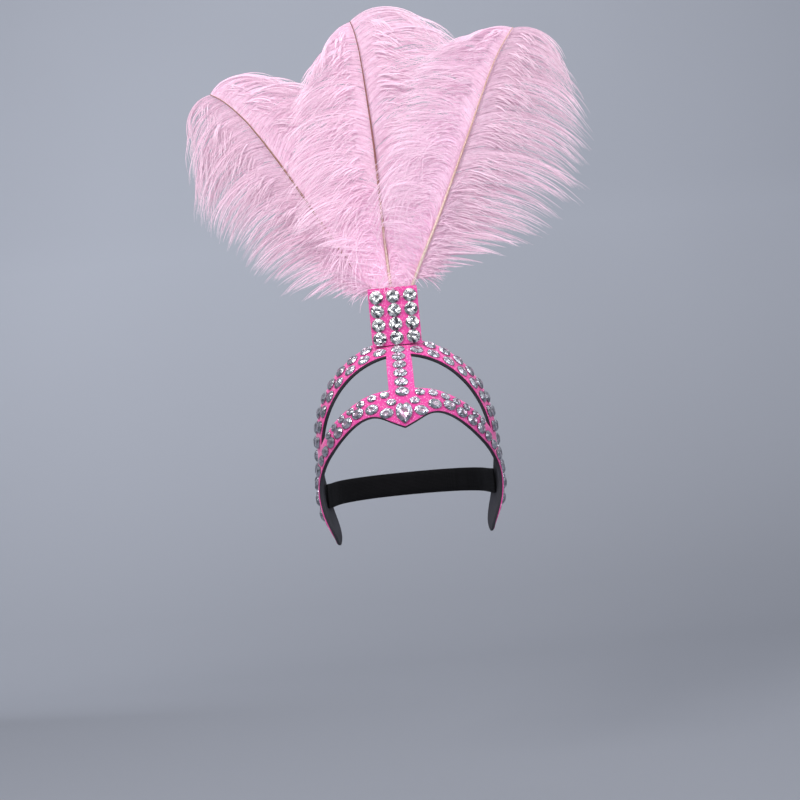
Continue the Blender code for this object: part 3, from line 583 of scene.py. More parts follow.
def stone_material(name, dark, light, roughness, pink_reflection):
    """Clear cut glass on silver foil: the foil's facets show through the crown, with their reflections
    painted into the colour.
    """
    material, tree, shader = new_material(name)
    spot = add_node(tree, "ShaderNodeUVMap", uv_map="cut").outputs["UV"]
    luck = add_node(tree, "ShaderNodeAttribute", attribute_name="luck").outputs["Fac"]
    cut = placed_group(tree, "foiled_cut", build_cut_with_painted_reflections, Place=spot, Luck=luck, Dark=dark, Light=light,
                       Blush=pink_reflection)
    tree.links.new(cut["Colour"], shader.inputs["Base Color"])
    shader.inputs["Metallic"].default_value = 0.85
    shader.inputs["Roughness"].default_value = roughness
    shader.inputs["Coat Weight"].default_value = 1.0
    shader.inputs["Coat Roughness"].default_value = 0.02
    shader.inputs["Coat IOR"].default_value = 1.55
    bump(tree, cut["Height"], 1.0 - 0.9 * roughness, 0.0026, shader)
    return material


def stage_material(colour):
    """Studio paper: faint clouds, and a painted shade that makes it darker low down, where the light falls
    off.
    """
    material, tree, shader = new_material("studio_paper")
    place = object_coordinates(tree)
    grain = noise(tree, place, 350.0, 3.0)
    shade, _ = mottle(tree, place, 1.2, 2.0, (0.3, 0.7), [c * 0.95 for c in colour], colour)
    _, _, height = axes(tree, place)
    # Painted shade: the paper darkens towards the floor in place of the light's fall-off
    shade = mix_colours(tree, ramp(tree, height, -0.30, 0.45), [c * 0.66 for c in colour], shade)
    tree.links.new(shade, shader.inputs["Base Color"])
    shader.inputs["Roughness"].default_value = 0.9
    shader.inputs["Specular IOR Level"].default_value = 0.2
    bump(tree, grain, 0.1, 0.0005, shader)
    return material


# Copies of the frame's solids, made fine


def trim_low_rims(shape, trim):
    """Draws the rims that face down back by this much, so that what lies behind them shows."""
    pushes = {}
    for face in shape.faces:
        if sum(edge.calc_face_angle(0.0) > RIM_ANGLE for edge in face.edges) < 2:
            continue
        for vertex in face.verts:
            pushes.setdefault(vertex, Vector()).xyz += face.normal
    for vertex, push in pushes.items():
        push.normalize()
        if push.z < RIM_TILT:
            vertex.co -= push * trim


def fine_copy(node, name, trim=0.0):
    """The solid merged, turned to quads and subdivided, with its rims kept crisp."""
    piece = bpy.data.objects.new(name, NODES[node].data.copy())
    bpy.context.scene.collection.objects.link(piece)
    make_active(piece)
    bpy.ops.object.mode_set(mode="EDIT")
    bpy.ops.mesh.select_all(action="SELECT")
    bpy.ops.mesh.remove_doubles(threshold=1e-5)
    bpy.ops.mesh.tris_convert_to_quads(face_threshold=math.radians(50), shape_threshold=math.radians(60))
    bpy.ops.object.mode_set(mode="OBJECT")
    shape = bmesh.new()
    shape.from_mesh(piece.data)
    if trim:
        trim_low_rims(shape, trim)
    crease = shape.edges.layers.float.new("crease_edge")
    for edge in shape.edges:
        if edge.calc_face_angle(0.0) > CRISP_ANGLE:
            edge[crease] = CRISP_STRENGTH
    shape.to_mesh(piece.data)
    shape.free()
    smooth = piece.modifiers.new("smooth", "SUBSURF")
    smooth.levels = FINE_LEVELS
    smooth.render_levels = FINE_LEVELS
    bpy.ops.object.modifier_apply(modifier=smooth.name)
    bpy.ops.object.shade_smooth_by_angle(angle=math.radians(38))
    return piece


# Stones


def solid_shape(node):
    """A stone solid with its loose triangles merged back into flat faces."""
    shape = bmesh.new()
    shape.from_mesh(NODES[node].data)
    bmesh.ops.remove_doubles(shape, verts=shape.verts, dist=1e-5)
    bmesh.ops.dissolve_limit(shape, angle_limit=math.radians(1.5), verts=shape.verts, edges=shape.edges)
    return shape


def stone_spots(node, steepest):
    """Each stone's centre, length and width axes, normal, half length and half width, from its table."""
    shape = solid_shape(node)
    spots = []
    for face in shape.faces:
        corners = len(face.verts)
        leans = [edge.calc_face_angle(math.pi) for edge in face.edges]
        if corners < 8 or max(leans) > math.radians(steepest):
            continue
        centre = sum((v.co for v in face.verts), Vector()) / corners
        offsets = np.array([v.co - centre for v in face.verts])
        values, ways = np.linalg.eigh(offsets.T @ offsets / corners)
        along, across = Vector(ways[:, 2]), Vector(ways[:, 1])
        half_length, half_width = (math.sqrt(2 * values[k]) / TABLE_SHARE for k in (2, 1))
        normal = face.normal.copy()
        if along.cross(across).dot(normal) < 0:
            across = -across
        spots.append((centre, along, across, normal, half_length, half_width))
    shape.free()
    if not spots:
        raise RuntimeError(f"no stone found in {node}")
    return spots


def model_gem(name, outline=None):
    """A stone of unit reach and height, cut in rings of facets under a flat table."""
    deselect()
    sides = GEM_SIDES if outline is None else len(outline)
    bpy.ops.mesh.primitive_circle_add(vertices=sides, radius=1.0, fill_type="NGON", location=(0, 0, 0))
    gem = bpy.context.active_object
    gem.name = name
    if outline is not None:
        for vertex, (x, y) in zip(gem.data.vertices, outline):
            vertex.co.x, vertex.co.y = x, y
    bpy.ops.object.mode_set(mode="EDIT")
    bpy.ops.mesh.select_all(action="SELECT")
    for rise, size, turn in GEM_RINGS:
        bpy.ops.mesh.extrude_region_move(TRANSFORM_OT_translate={"value": (0, 0, rise)})
        bpy.ops.transform.resize(value=(size, size, 1.0), center_override=(0, 0, 0))
        if outline is None and turn:
            angle = turn * 2 * math.pi / sides
            bpy.ops.transform.rotate(value=angle, orient_axis="Z", center_override=(0, 0, 0))
    bpy.ops.mesh.select_all(action="SELECT")
    bpy.ops.mesh.normals_make_consistent(inside=False)
    bpy.ops.object.mode_set(mode="OBJECT")
    shape = bmesh.new()
    shape.from_mesh(gem.data)
    sloping = [f for f in shape.faces if len(f.verts) == 4 and 0.05 < f.normal.z < 0.98]
    bmesh.ops.triangulate(shape, faces=sloping, quad_method="SHORT_EDGE")
    shape.to_mesh(gem.data)
    shape.free()
    return gem


def place_gems(name, gem, spots, height_share):
    """Copies of the unit stone at these places, with each stone's own coordinates kept for the painted
    reflections in its foil.
    """
    points = np.array([v.co for v in gem.data.vertices])
    faces = [tuple(p.vertices) for p in gem.data.polygons]
    vertices, polygons, cut, luck = [], [], [], []
    rng = np.random.default_rng(sum(ord(c) for c in name))
    for centre, along, across, normal, half_length, half_width in spots:
        height = height_share * 2 * half_length
        base = centre - normal * height
        start = len(vertices)
        chance = rng.random()
        for x, y, z in points:
            spot = base + along * (x * half_length) + across * (y * half_width) + normal * (z * height)
            vertices.append(spot)
        for face in faces:
            polygons.append(tuple(start + i for i in face))
            cut += [(points[i][0], points[i][1]) for i in face]
            luck.append(chance)
    piece = mesh_piece(name, vertices, polygons)
    layer = piece.data.uv_layers.new(name="cut")
    layer.data.foreach_set("uv", np.array(cut).ravel())
    own = piece.data.attributes.new("luck", "FLOAT", "FACE")
    own.data.foreach_set("value", np.array(luck))
    return piece


def heart_outline():
    """A full heart of reach one, with its point down and a shallow notch."""
    outline = []
    for side in range(HEART_SIDES):
        turn = 2 * math.pi * side / HEART_SIDES
        across = math.sin(turn) * abs(math.sin(turn)) ** HEART_SIDE_POWER
        up = sum(weight * math.cos(times * turn) for times, weight in enumerate(HEART_CURVE))
        outline.append((-across, up / HEART_CURVE_REACH))
    return outline


def heart_spot(node, centre, normal):
    """The heart's place: upright, in the middle of its solid, and as wide and tall as it."""
    low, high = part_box(node)
    across = Vector((1, 0, 0))
    up = normal.cross(across)
    middle = (low + high) / 2
    centre = centre + up * (middle - centre).dot(up)
    tall = (high.z - low.z) / 2 / max(up.z, 0.5)
    return centre, across, up, normal, (high.x - low.x) / 2, tall


# Plumes


def shaft_line(node):
    """The shaft's centre line: the middles of the solid's rings, from foot to tip."""
    mesh = NODES[node].data
    points = np.unique(np.round([v.co for v in mesh.vertices], 6), axis=0)
    points = points[np.argsort(points[:, 2])]
    breaks = np.flatnonzero(np.diff(points[:, 2]) > RING_STEP) + 1
    rings = np.split(points, breaks)
    return np.array([ring.mean(0) for ring in rings])


def along_curve(line, share):
    """Points on the line at these shares of its length."""
    length = np.concatenate([[0.0], np.cumsum(np.linalg.norm(np.diff(line, axis=0), axis=1))])
    at = np.clip(share, 0.0, 1.0) * length[-1]
    return np.stack([np.interp(at, length, line[:, axis]) for axis in range(3)], -1)


def barb_curves(line, plume, side, share, steps, stretch, turn, curl, hook=1.0):
    """Barbs that leave the shaft at these shares, bent evenly, or most at the root where hook is over 1."""
    start = plume["vane_start"]
    at = start + (1 - start) * share
    near = 0.05 * (1 - start)
    root = along_curve(line, at)
    run = along_curve(line, at + near) - along_curve(line, at - near)
    run[:, 1] = 0.0
    run /= np.linalg.norm(run, axis=1, keepdims=True)
    out = np.stack([run[:, 2], np.zeros(len(run)), -run[:, 0]], -1) * side
    rows = np.array(plume["barbs"])
    offset = 4 if side > 0 else 1
    length, leave, bend = (np.interp(share, rows[:, 0], rows[:, offset + k]) for k in range(3))
    length = length * PLUME_SPREAD * stretch
    leave = np.radians(leave + turn)
    bend = np.radians(bend + curl)
    along = np.linspace(0.0, 1.0, steps + 1)[None, :]
    if hook == 1.0:
        angle = leave[:, None] + bend[:, None] * along
        ahead = (length / bend)[:, None] * (np.sin(angle) - np.sin(leave)[:, None])
        away = (length / bend)[:, None] * (np.cos(leave)[:, None] - np.cos(angle))
    else:
        middles = (along[:, 1:] + along[:, :-1]) / 2
        angle = leave[:, None] + bend[:, None] * (1 - (1 - middles) ** hook)
        step = (length / steps)[:, None]
        zero = np.zeros((len(share), 1))
        ahead = np.concatenate([zero, np.cumsum(np.cos(angle) * step, axis=1)], 1)
        away = np.concatenate([zero, np.cumsum(np.sin(angle) * step, axis=1)], 1)
    return root[:, None] + run[:, None] * ahead[..., None] + out[:, None] * away[..., None]


def evenly_barbed(plume, length, leave, bend):
    """The plume with barbs of one length and bend, and leaving angles from the first to the last of these."""
    rows = [(at, length, angle, bend, length, angle, bend) for at, angle in enumerate(leave)]
    return {**plume, "barbs": rows}


def strand_tints(rng, share, steps, tint, pale, deep, tip):
    """A colour for every point: deep low down and by the shaft, paler further out, whitish at the tips.

    Soft patches, painted light that brightens the vane's foot against the shade of its dense strands, and
    each strand's own chance come on top.
    """
    count = len(share)
    along = np.linspace(0.0, 1.0, steps + 1)[None, :]
    patch = TINT_PATCH * np.sin(share[:, None] * 17.0 + 5.0 * along)
    mix = tint + TINT_UP * share[:, None] + TINT_OUT * along + patch + rng.normal(0, TINT_CHANCE, (count, 1))
    mix = np.clip(mix, 0, 1)[..., None]
    colour = deep * (1 - mix) + pale * mix
    white = np.clip(TIP_WHITE * along ** 2 * (0.4 + 0.6 * rng.random((count, 1))), 0, 1)[..., None]
    colour = colour * (1 - white) + tip * white
    # Painted light: brighter at the vane's foot, where the dense strands shade each other
    low = np.clip(1 - share / FOOT_PAINTED_LIGHT_SHARE, 0, 1)[:, None]
    colour *= (1 + FOOT_PAINTED_LIGHT * low + rng.normal(0, 0.05, (count, 1)))[..., None]
    return np.clip(colour, 0.0, 1.0)


def ribbons(curves, width, twist, tints):
    """Flat tapering ribbons along the curves, each with its own twist, as vertices, faces and colours."""
    count, points = curves.shape[:2]
    run = np.gradient(curves, axis=1)
    run /= np.linalg.norm(run, axis=2, keepdims=True) + 1e-12
    flat = np.stack([run[..., 2], np.zeros((count, points)), -run[..., 0]], -1)
    flat /= np.linalg.norm(flat, axis=2, keepdims=True) + 1e-12
    depth = np.cross(run, flat)
    along = np.linspace(0.0, 1.0, points)
    angle = twist[:, None] * (0.4 + 0.6 * along)[None, :]
    side = flat * np.cos(angle)[..., None] + depth * np.sin(angle)[..., None]
    # Over half the width at the root, all of it about a quarter of the way along, and a thin tip
    taper = np.clip(0.55 + 1.6 * along, 0, 1) * (1 - along ** 3) + 0.05
    half = side * (width * taper[None, :])[..., None] / 2
    vertices = np.stack([curves - half, curves + half], 2).reshape(-1, 3)
    index = (np.arange(count)[:, None] * points + np.arange(points - 1)[None, :]) * 2
    faces = np.stack([index, index + 1, index + 3, index + 2], -1).reshape(-1, 4)
    return vertices, faces, np.repeat(tints.reshape(-1, 3), 2, axis=0)


def tufts(rng, curves, tints, per_step, length, width):
    """Short hairs that leave the strands at a slant all round, shorter to the tip, each one slim triangle."""
    points = curves.shape[1] - 1
    shorter = np.tile(np.repeat(np.linspace(1.0, 0.25, points), per_step), len(curves))[:, None]
    base = np.repeat(curves[:, :-1], per_step, axis=1)
    step = np.repeat(np.diff(curves, axis=1), per_step, axis=1)
    shade = np.repeat(tints[:, :-1], per_step, axis=1)
    base = (base + step * rng.random(base.shape[:2])[..., None]).reshape(-1, 3)
    run = (step / (np.linalg.norm(step, axis=2, keepdims=True) + 1e-12)).reshape(-1, 3)
    shade = shade.reshape(-1, 3)
    swing = rng.normal(0, 1, run.shape) * (1.0, 0.7, 1.0)
    swing -= run * (swing * run).sum(1, keepdims=True)
    swing /= np.linalg.norm(swing, axis=1, keepdims=True) + 1e-12
    slant = rng.uniform(0.10, 0.40, (len(run), 1))
    reach = length * shorter * rng.uniform(0.4, 1.0, (len(run), 1))
    tip = base + (run * np.cos(slant) + swing * np.sin(slant)) * reach
    edge = np.cross(run, swing) * width / 2
    vertices = np.stack([base - edge, base + edge, tip], 1).reshape(-1, 3)
    colours = np.repeat(shade, 3, axis=0)
    faces = np.arange(len(vertices)).reshape(-1, 3)
    return vertices, faces, colours


def strand_mesh(name, parts):
    """One mesh from blocks of vertices, faces and colours."""
    vertices = np.concatenate([p[0] for p in parts])
    colours = np.concatenate([p[2] for p in parts])
    loops, starts, offset, run = [], [], 0, 0
    for block, faces, _ in parts:
        loops.append((faces + offset).ravel())
        starts.append(run + np.arange(len(faces)) * faces.shape[1])
        run += faces.size
        offset += len(block)
    loops, starts = np.concatenate(loops), np.concatenate(starts)
    mesh = bpy.data.meshes.new(name)
    mesh.vertices.add(len(vertices))
    mesh.vertices.foreach_set("co", vertices.astype(np.float32).ravel())
    mesh.loops.add(len(loops))
    mesh.loops.foreach_set("vertex_index", loops.astype(np.int32))
    mesh.polygons.add(len(starts))
    mesh.polygons.foreach_set("loop_start", starts.astype(np.int32))
    mesh.update(calc_edges=True)
    tint = mesh.color_attributes.new("tint", "BYTE_COLOR", "POINT")
    full = np.concatenate([colours, np.ones((len(colours), 1))], 1)
    tint.data.foreach_set("color", full.astype(np.float32).ravel())
    mesh.shade_smooth()
    piece = bpy.data.objects.new(name, mesh)
    bpy.context.scene.collection.objects.link(piece)
    return piece


def locked(rng, line, plume, side, share, steps, stretch, turn, curl, clump):
    """Barbs whose tips are drawn together in locks, each lock with a turn, curl and depth of its own."""
    index = np.floor(share * LOCKS)
    spots = (index + 0.5 + rng.normal(0, 0.06, len(share))) / LOCKS
    free = barb_curves(line, plume, side, share, steps, stretch, turn, curl)
    own_turn, own_curl = LOCK_TURN * np.sin(index * 4.7), LOCK_CURL * np.sin(index * 8.3)
    lock = barb_curves(line, plume, side, np.clip(spots, 0, 1), steps, stretch, own_turn, own_curl)
    along = np.linspace(0.0, 1.0, steps + 1)
    fine = rng.normal(0, STRAND_DEPTH, len(share))
    pull = (clump * np.clip(1.45 * along - 0.35, 0, 1) ** 0.8)[None, :, None]
    curves = free * (1 - pull) + lock * pull
    wave = np.sin(index * GOLDEN_TURN) * 0.22 + np.sin(share * 41.0) * 0.3 + rng.normal(0, 0.05, len(share))
    depth = wave[:, None] * LOCK_DEPTH * along[None, :] ** 1.3 + fine[:, None] * along[None, :]
    depth = depth + plume["lean"] * along[None, :] ** 2
    curves[..., 1] += depth
    return curves


def layer_parts(rng, line, plume, side, layer, tone, colours, barb_tufts):
    """One layer of a vane's strands, with short hairs on its barbs and under-barbs."""
    kind, count, steps, width, reach, spread, clump, tint = layer
    share = np.sort(rng.random(count))
    stretch = reach * np.clip(1 + rng.normal(0, 0.05, count), 0.7, 1.12)
    if kind in RAGGED:
        stretch *= rng.uniform(*RAGGED[kind], count)
    calm = np.interp(share, *CALM)
    turn = rng.normal(0, 40 * spread, count) * calm
    curl = rng.normal(0, 70 * spread, count) * calm
    if kind == "hair":
        stretch = 1 + (stretch - 1) * calm
    curves = locked(rng, line, plume, side, share, steps, stretch, turn, curl, clump)
    if kind == "under":
        curves[..., 1] += UNDER_BEHIND
    tints = strand_tints(rng, share, steps, tint - tone, *colours)
    parts = [ribbons(curves, width, rng.normal(0, 0.3, count), tints)]
    if kind == "barb":
        parts.append(tufts(rng, curves, tints, barb_tufts, *BARB_TUFT))
    if kind in TUFTS:
        parts.append(tufts(rng, curves, tints, *TUFTS[kind]))
    return parts


def drape_parts(rng, line, plume, side, drape, tone, colours):
    """Soft barbs that hook over and hang down in front of the vane."""
    first, last, count, length, leave, bend = drape
    share = rng.uniform(first, last, count)
    turn, curl = rng.normal(0, 7, count), rng.normal(0, 12, count)
    stretch = rng.uniform(0.55, 1.1, count)
    soft = evenly_barbed(plume, length, (leave, leave), bend)
    curves = barb_curves(line, soft, side, share, DRAPE_STEPS, stretch, turn, curl, DRAPE_HOOK)
    along = np.linspace(0.0, 1.0, DRAPE_STEPS + 1)[None, :]
    curves[..., 1] += -0.006 * np.sin(along * 2.2) + rng.normal(0, 0.003, (count, 1)) * along
    tints = strand_tints(rng, share, DRAPE_STEPS, 0.05 - tone, *colours)
    return [
        ribbons(curves, SOFT_WIDTH, rng.normal(0, 0.6, count), tints),
        tufts(rng, curves, tints, *TUFTS["drape"]),
    ]


def down_parts(rng, line, plume, side, lowest, behind, colours):
    """The down at the vane's foot."""
    share = rng.random(DOWN_HAIRS) ** 1.4 * DOWN_REACH + lowest
    stretch = DOWN_LENGTH / PLUME_SPREAD * rng.uniform(0.5, 1.2, DOWN_HAIRS)
    turn, curl = rng.normal(0, 20, DOWN_HAIRS), rng.normal(0, 25, DOWN_HAIRS)
    soft = evenly_barbed(plume, 1, DOWN_LEAVE, DOWN_BEND)
    curves = barb_curves(line, soft, side, share, DOWN_STEPS, stretch, turn, curl)
    along = np.linspace(0.0, 1.0, DOWN_STEPS + 1)[None, :]
    curves[..., 1] += rng.normal(behind, 0.0065, DOWN_HAIRS)[:, None] * along ** 1.2
    tints = strand_tints(rng, share, DOWN_STEPS, -0.25, *colours)
    return [
        ribbons(curves, SOFT_WIDTH, rng.normal(0, 0.8, DOWN_HAIRS), tints),
        tufts(rng, curves, tints, *TUFTS["down"]),
    ]


def vane(name, line, plume, side, settings):
    """One side of a plume, -1 for the left or 1 for the right: its layers, its drapes and its down."""
    rng = np.random.default_rng(sum(ord(c) for c in name))
    which = 0 if side < 0 else 1
    tone, shade, lowest = (plume[key][which] for key in ("tones", "shades", "down"))
    dyes = (settings.feather_pale, settings.feather_deep, settings.feather_tip)
    colours = [np.array(dye[:3]) * shade for dye in dyes]
    parts = []
    for layer in STRAND_LAYERS:
        parts += layer_parts(rng, line, plume, side, layer, tone, colours, settings.tufts)
    for drape_side, *drape in plume["drapes"]:
        if drape_side == side:
            parts += drape_parts(rng, line, plume, side, drape, tone, colours)
    parts += down_parts(rng, line, plume, side, lowest, plume["down"][2], colours)
    return strand_mesh(name, parts)


def shaft_piece(name, line, low, high, edge):
    """A shaft as a tapering curve made a mesh, with its tone at every point and painted shade on its flanks
    low down.
    """
    deselect()
    bpy.ops.curve.primitive_nurbs_path_add(location=(0, 0, 0))
    path = bpy.context.active_object
    path.name = name
    curve = path.data
    curve.splines.clear()
    spline = curve.splines.new("POLY")
    fine = along_curve(line, np.linspace(0, 1, SHAFT_STEPS))
    spline.points.add(len(fine) - 1)
    for index, point in enumerate(fine):
        spline.points[index].co = (*point, 1.0)
        spline.points[index].radius = 1 - (1 - SHAFT_TIP_SHARE) * index / (len(fine) - 1)
    curve.bevel_depth = SHAFT_RADIUS
    curve.bevel_resolution = 3
    curve.use_fill_caps = True
    make_active(path)
    bpy.ops.object.convert(target="MESH")
    shaft = bpy.context.active_object
    bpy.ops.object.mode_set(mode="EDIT")
    bpy.ops.mesh.select_all(action="SELECT")
    bpy.ops.mesh.remove_doubles(threshold=1e-6)
    bpy.ops.mesh.normals_make_consistent(inside=False)
    bpy.ops.object.mode_set(mode="OBJECT")
    points = np.array([v.co for v in shaft.data.vertices])
    share = (points[:, 2] - line[0, 2]) / (line[-1, 2] - line[0, 2])
    mix = np.clip((share - SHAFT_LOW) / SHAFT_BLEND, 0, 1)[:, None]
    # Painted shade: the sides of the round shaft, facing sideways, take the darker flank colour low down
    flank_shade = np.abs(np.array([v.normal.x for v in shaft.data.vertices]))[:, None]
    flank_shade = np.clip((flank_shade - FLANK_SHADE_START) / FLANK_SHADE_BLEND, 0, 1)
    foot = np.array(low)[None, :] * (1 - flank_shade) + np.array(edge)[None, :] * flank_shade
    colours = foot * (1 - mix) + np.array(high)[None, :] * mix
    tone = shaft.data.color_attributes.new("tone", "FLOAT_COLOR", "POINT")
    full = np.concatenate([colours, np.ones((len(colours), 1))], 1)
    tone.data.foreach_set("color", full.astype(np.float32).ravel())
    bpy.ops.object.shade_smooth_by_angle(angle=math.radians(50))
    return shaft


# Stage


def paper_sweep(floor, paper):
    """The floor, which bends up into a backdrop."""
    profile = [(SWEEP_FRONT, 0.0), (SWEEP_FOOT, 0.0)]
    for turn in np.linspace(0.1, math.pi / 2, 12):
        profile.append((SWEEP_FOOT + SWEEP_BEND * math.sin(turn), SWEEP_BEND - SWEEP_BEND * math.cos(turn)))
    profile.append((SWEEP_FOOT + SWEEP_BEND, SWEEP_TOP))
    points = [(x, y, z + floor) for y, z in profile for x in (-SWEEP_HALF_WIDTH, SWEEP_HALF_WIDTH)]
    faces = [(2 * i, 2 * i + 1, 2 * i + 3, 2 * i + 2) for i in range(len(profile) - 1)]
    sweep = mesh_piece("studio_sweep", points, faces)
    sweep.data.materials.append(paper)
    sweep.data.shade_smooth()


def add_lights(scene):
    for name, place, aim, size, power, colour in LIGHTS:
        lamp = bpy.data.lights.new(name, "AREA")
        lamp.size = size
        lamp.energy = power
        lamp.color = colour
        holder = bpy.data.objects.new(name, lamp)
        holder.location = place
        holder.rotation_euler = (Vector(aim) - Vector(place)).to_track_quat("-Z", "Y").to_euler()
        scene.collection.objects.link(holder)


def studio_air():
    """Even light that is dimmer from below, with soft clouds in it for the stones to mirror."""
    world = bpy.data.worlds.new("studio_air")
    world.use_nodes = True
    tree = world.node_tree
    air = tree.nodes["Background"]
    direction = add_node(tree, "ShaderNodeTexCoord").outputs["Generated"]
    _, _, up = axes(tree, direction)
    height = math_node(tree, "MULTIPLY_ADD", noise(tree, direction, 1.4, 1.0), 0.9, up)
    rise = add_node(tree, "ShaderNodeMapRange", interpolation_type="SMOOTHSTEP")
    rise.inputs["From Min"].default_value = 0.10
    rise.inputs["From Max"].default_value = 0.95
    tree.links.new(height, rise.inputs["Value"])
    colour = mix_colours(tree, rise.outputs["Result"], (0.24, 0.245, 0.27), (1.0, 1.0, 1.04))
    tree.links.new(colour, air.inputs["Color"])
    air.inputs["Strength"].default_value = 0.75
    return world


def add_camera(scene):
    lens = bpy.data.cameras.new("camera")
    lens.lens = CAMERA_LENS
    lens.sensor_width = CAMERA_SENSOR
    camera = bpy.data.objects.new("camera", lens)
    turn = Matrix.Rotation(math.pi / 2, 4, "X") @ Matrix.Rotation(math.radians(CAMERA_ROLL), 4, "Z")
    camera.matrix_world = Matrix.Translation(CAMERA_PLACE) @ turn
    scene.collection.objects.link(camera)
    return camera


# What a user would change


class HeaddressLook(bpy.types.PropertyGroup):
    felt: bpy.props.FloatVectorProperty(
        name="Felt", description="Colour of the glitter felt", subtype="COLOR", size=3,
        default=(0.97, 0.080, 0.43))
    foam: bpy.props.FloatVectorProperty(
        name="Foam", description="Colour of the foam behind the felt", subtype="COLOR", size=3,
        default=(0.022, 0.022, 0.030))
    elastic: bpy.props.FloatVectorProperty(
        name="Elastic", description="Colour of the strap", subtype="COLOR", size=3,
        default=(0.0025, 0.0025, 0.0032))
    feather_pale: bpy.props.FloatVectorProperty(
        name="Feather pale", description="Barb colour high up and far out", subtype="COLOR", size=3,
        default=(0.95, 0.655, 0.815))
    # Painted light: the deep colour is brighter than the pale one, to lift the shade on the dense strands low
    # down
    feather_deep: bpy.props.FloatVectorProperty(
        name="Feather deep", description="Barb colour low down and by the shaft", subtype="COLOR", size=3,
        default=(1.0, 0.73, 0.90))
    feather_tip: bpy.props.FloatVectorProperty(
        name="Feather tip", description="Colour of the barbs' tips", subtype="COLOR", size=3,
        default=(0.95, 0.79, 0.89))
    tufts: bpy.props.IntProperty(
        name="Tufts", description="Short hairs on each step of a barb", default=8, min=0, max=12)
    paper: bpy.props.FloatVectorProperty(
        name="Paper", description="Colour of the floor and backdrop", subtype="COLOR", size=3,
        default=(0.315, 0.335, 0.385))
    floor_drop: bpy.props.FloatProperty(
        name="Floor drop", description="How far the floor lies below the origin", subtype="DISTANCE",
        unit="LENGTH", default=0.36, min=0.30)


# Operators


class HEADDRESS_OT_frame(bpy.types.Operator):
    """Felt and foam of the frame, smoothed, and the plates of the plume holder"""
    bl_idname = "headdress.frame"
    bl_label = "Frame"

    def execute(self, context):
        felt = felt_material(look().felt)
        foam = foam_material(look().foam)
        settle(fine_copy("frame_facing", "felt_cover", FELT_TRIM), "pink_felt", felt, "frame_facing")
        settle(fine_copy("frame_backing", "foam_frame"), "dark_foam", foam, "frame_backing")
        for node, material in (("holder_facing", felt), ("holder_backing", foam), ("holder_rear", foam)):
            NODES[node].data.materials.clear()
            NODES[node].data.materials.append(material)
        return {"FINISHED"}


class HEADDRESS_OT_strap(bpy.types.Operator):
    """The elastic strap round the back"""
    bl_idname = "headdress.strap"
    bl_label = "Strap"

    def execute(self, context):
        strap = fine_copy("strap", "elastic_strap")
        settle(strap, "black_elastic", elastic_material(look().elastic), "strap")
        return {"FINISHED"}


class HEADDRESS_OT_stones(bpy.types.Operator):
    """All the glued stones, cut in facets"""
    bl_idname = "headdress.stones"
    bl_label = "Stones"

    def execute(self, context):
        round_glass = stone_material("foiled_glass", *ROUND_GLASS)
        oval_glass = stone_material("foiled_oval_glass", *OVAL_GLASS)
        heart_glass = stone_material("foiled_heart_glass", *HEART_GLASS)
        gem = model_gem("unit_gem")
        heart = model_gem("unit_heart", heart_outline())
        for node in sorted(NODES):
            if "stone" not in node and "_row_" not in node:
                continue
            in_holder, is_heart = node.startswith("holder"), node == "heart_stone"
            spots = stone_spots(node, HEART_STEEPEST if is_heart else STONE_STEEPEST)
            if is_heart:
                centre, _, _, normal, _, _ = spots[0]
                spots = [heart_spot(node, centre, normal)]
            height = HOLDER_STONE_HEIGHT if in_holder else STONE_HEIGHT
            piece = place_gems("cut_" + node, heart if is_heart else gem, spots, height)
            glass = heart_glass if is_heart else round_glass if in_holder else oval_glass
            settle(piece, "cut_glass", glass, node)
        for unit in (gem, heart):
            bpy.data.objects.remove(unit)
        return {"FINISHED"}


class HEADDRESS_OT_shafts(bpy.types.Operator):
    """The three bare feather shafts"""
    bl_idname = "headdress.shafts"
    bl_label = "Shafts"

    def execute(self, context):
        horn = shaft_material()
        for side, tones in SHAFT_TONES.items():
            shaft = shaft_piece("shaft_" + side, shaft_line("quill_" + side), *tones)
            settle(shaft, "feather_shaft", horn, "quill_" + side)
        return {"FINISHED"}


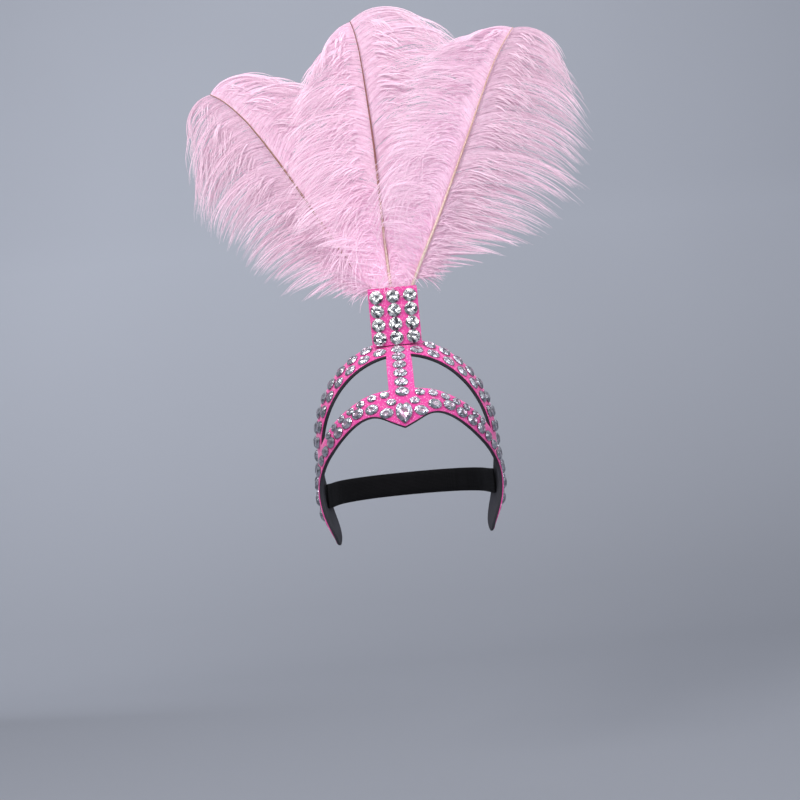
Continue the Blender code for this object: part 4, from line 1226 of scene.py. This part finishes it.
class HEADDRESS_OT_plumes(bpy.types.Operator):
    """The barbs, hairs and down of the three plumes"""
    bl_idname = "headdress.plumes"
    bl_label = "Plumes"

    def execute(self, context):
        dyed = feather_material()
        for side, plume in PLUMES.items():
            line = shaft_line("quill_" + side) + np.array([0.0, VANE_BEHIND, 0.0])
            left = vane(f"plume_{side}_left_vane", line, plume, -1, look())
            right = vane(f"plume_{side}_right_vane", line, plume, 1, look())
            settle(left, "pink_feather", dyed, "plume_" + side)
            settle(right, "pink_feather", dyed)
        return {"FINISHED"}


class HEADDRESS_OT_stage(bpy.types.Operator):
    """Floor, backdrop, lights and camera"""
    bl_idname = "headdress.stage"
    bl_label = "Stage"

    def execute(self, context):
        scene = context.scene
        paper_sweep(-look().floor_drop, stage_material(look().paper))
        add_lights(scene)
        scene.world = studio_air()
        scene.camera = add_camera(scene)
        scene.view_settings.view_transform = "Standard"
        return {"FINISHED"}


class HEADDRESS_PT_panel(bpy.types.Panel):
    """Sidebar panel with every step"""
    bl_idname = "HEADDRESS_PT_panel"
    bl_label = "Feather Headdress"
    bl_space_type = "VIEW_3D"
    bl_region_type = "UI"
    bl_category = "Headdress"

    def draw(self, context):
        for name in HeaddressLook.__annotations__:
            self.layout.prop(context.scene.headdress_look, name)
        for step in STEPS:
            self.layout.operator(step.bl_idname)


STEPS = (
    HEADDRESS_OT_stage,
    HEADDRESS_OT_frame,
    HEADDRESS_OT_strap,
    HEADDRESS_OT_stones,
    HEADDRESS_OT_shafts,
    HEADDRESS_OT_plumes,
)
CLASSES = (HeaddressLook, *STEPS, HEADDRESS_PT_panel)


def register():
    for item in CLASSES:
        bpy.utils.register_class(item)
    bpy.types.Scene.headdress_look = bpy.props.PointerProperty(type=HeaddressLook)


def unregister():
    del bpy.types.Scene.headdress_look
    for item in reversed(CLASSES):
        bpy.utils.unregister_class(item)


def main():
    register()
    for step in STEPS:
        group, action = step.bl_idname.split(".")
        getattr(getattr(bpy.ops, group), action)()
    deselect()


if __name__ == "__main__":
    main()
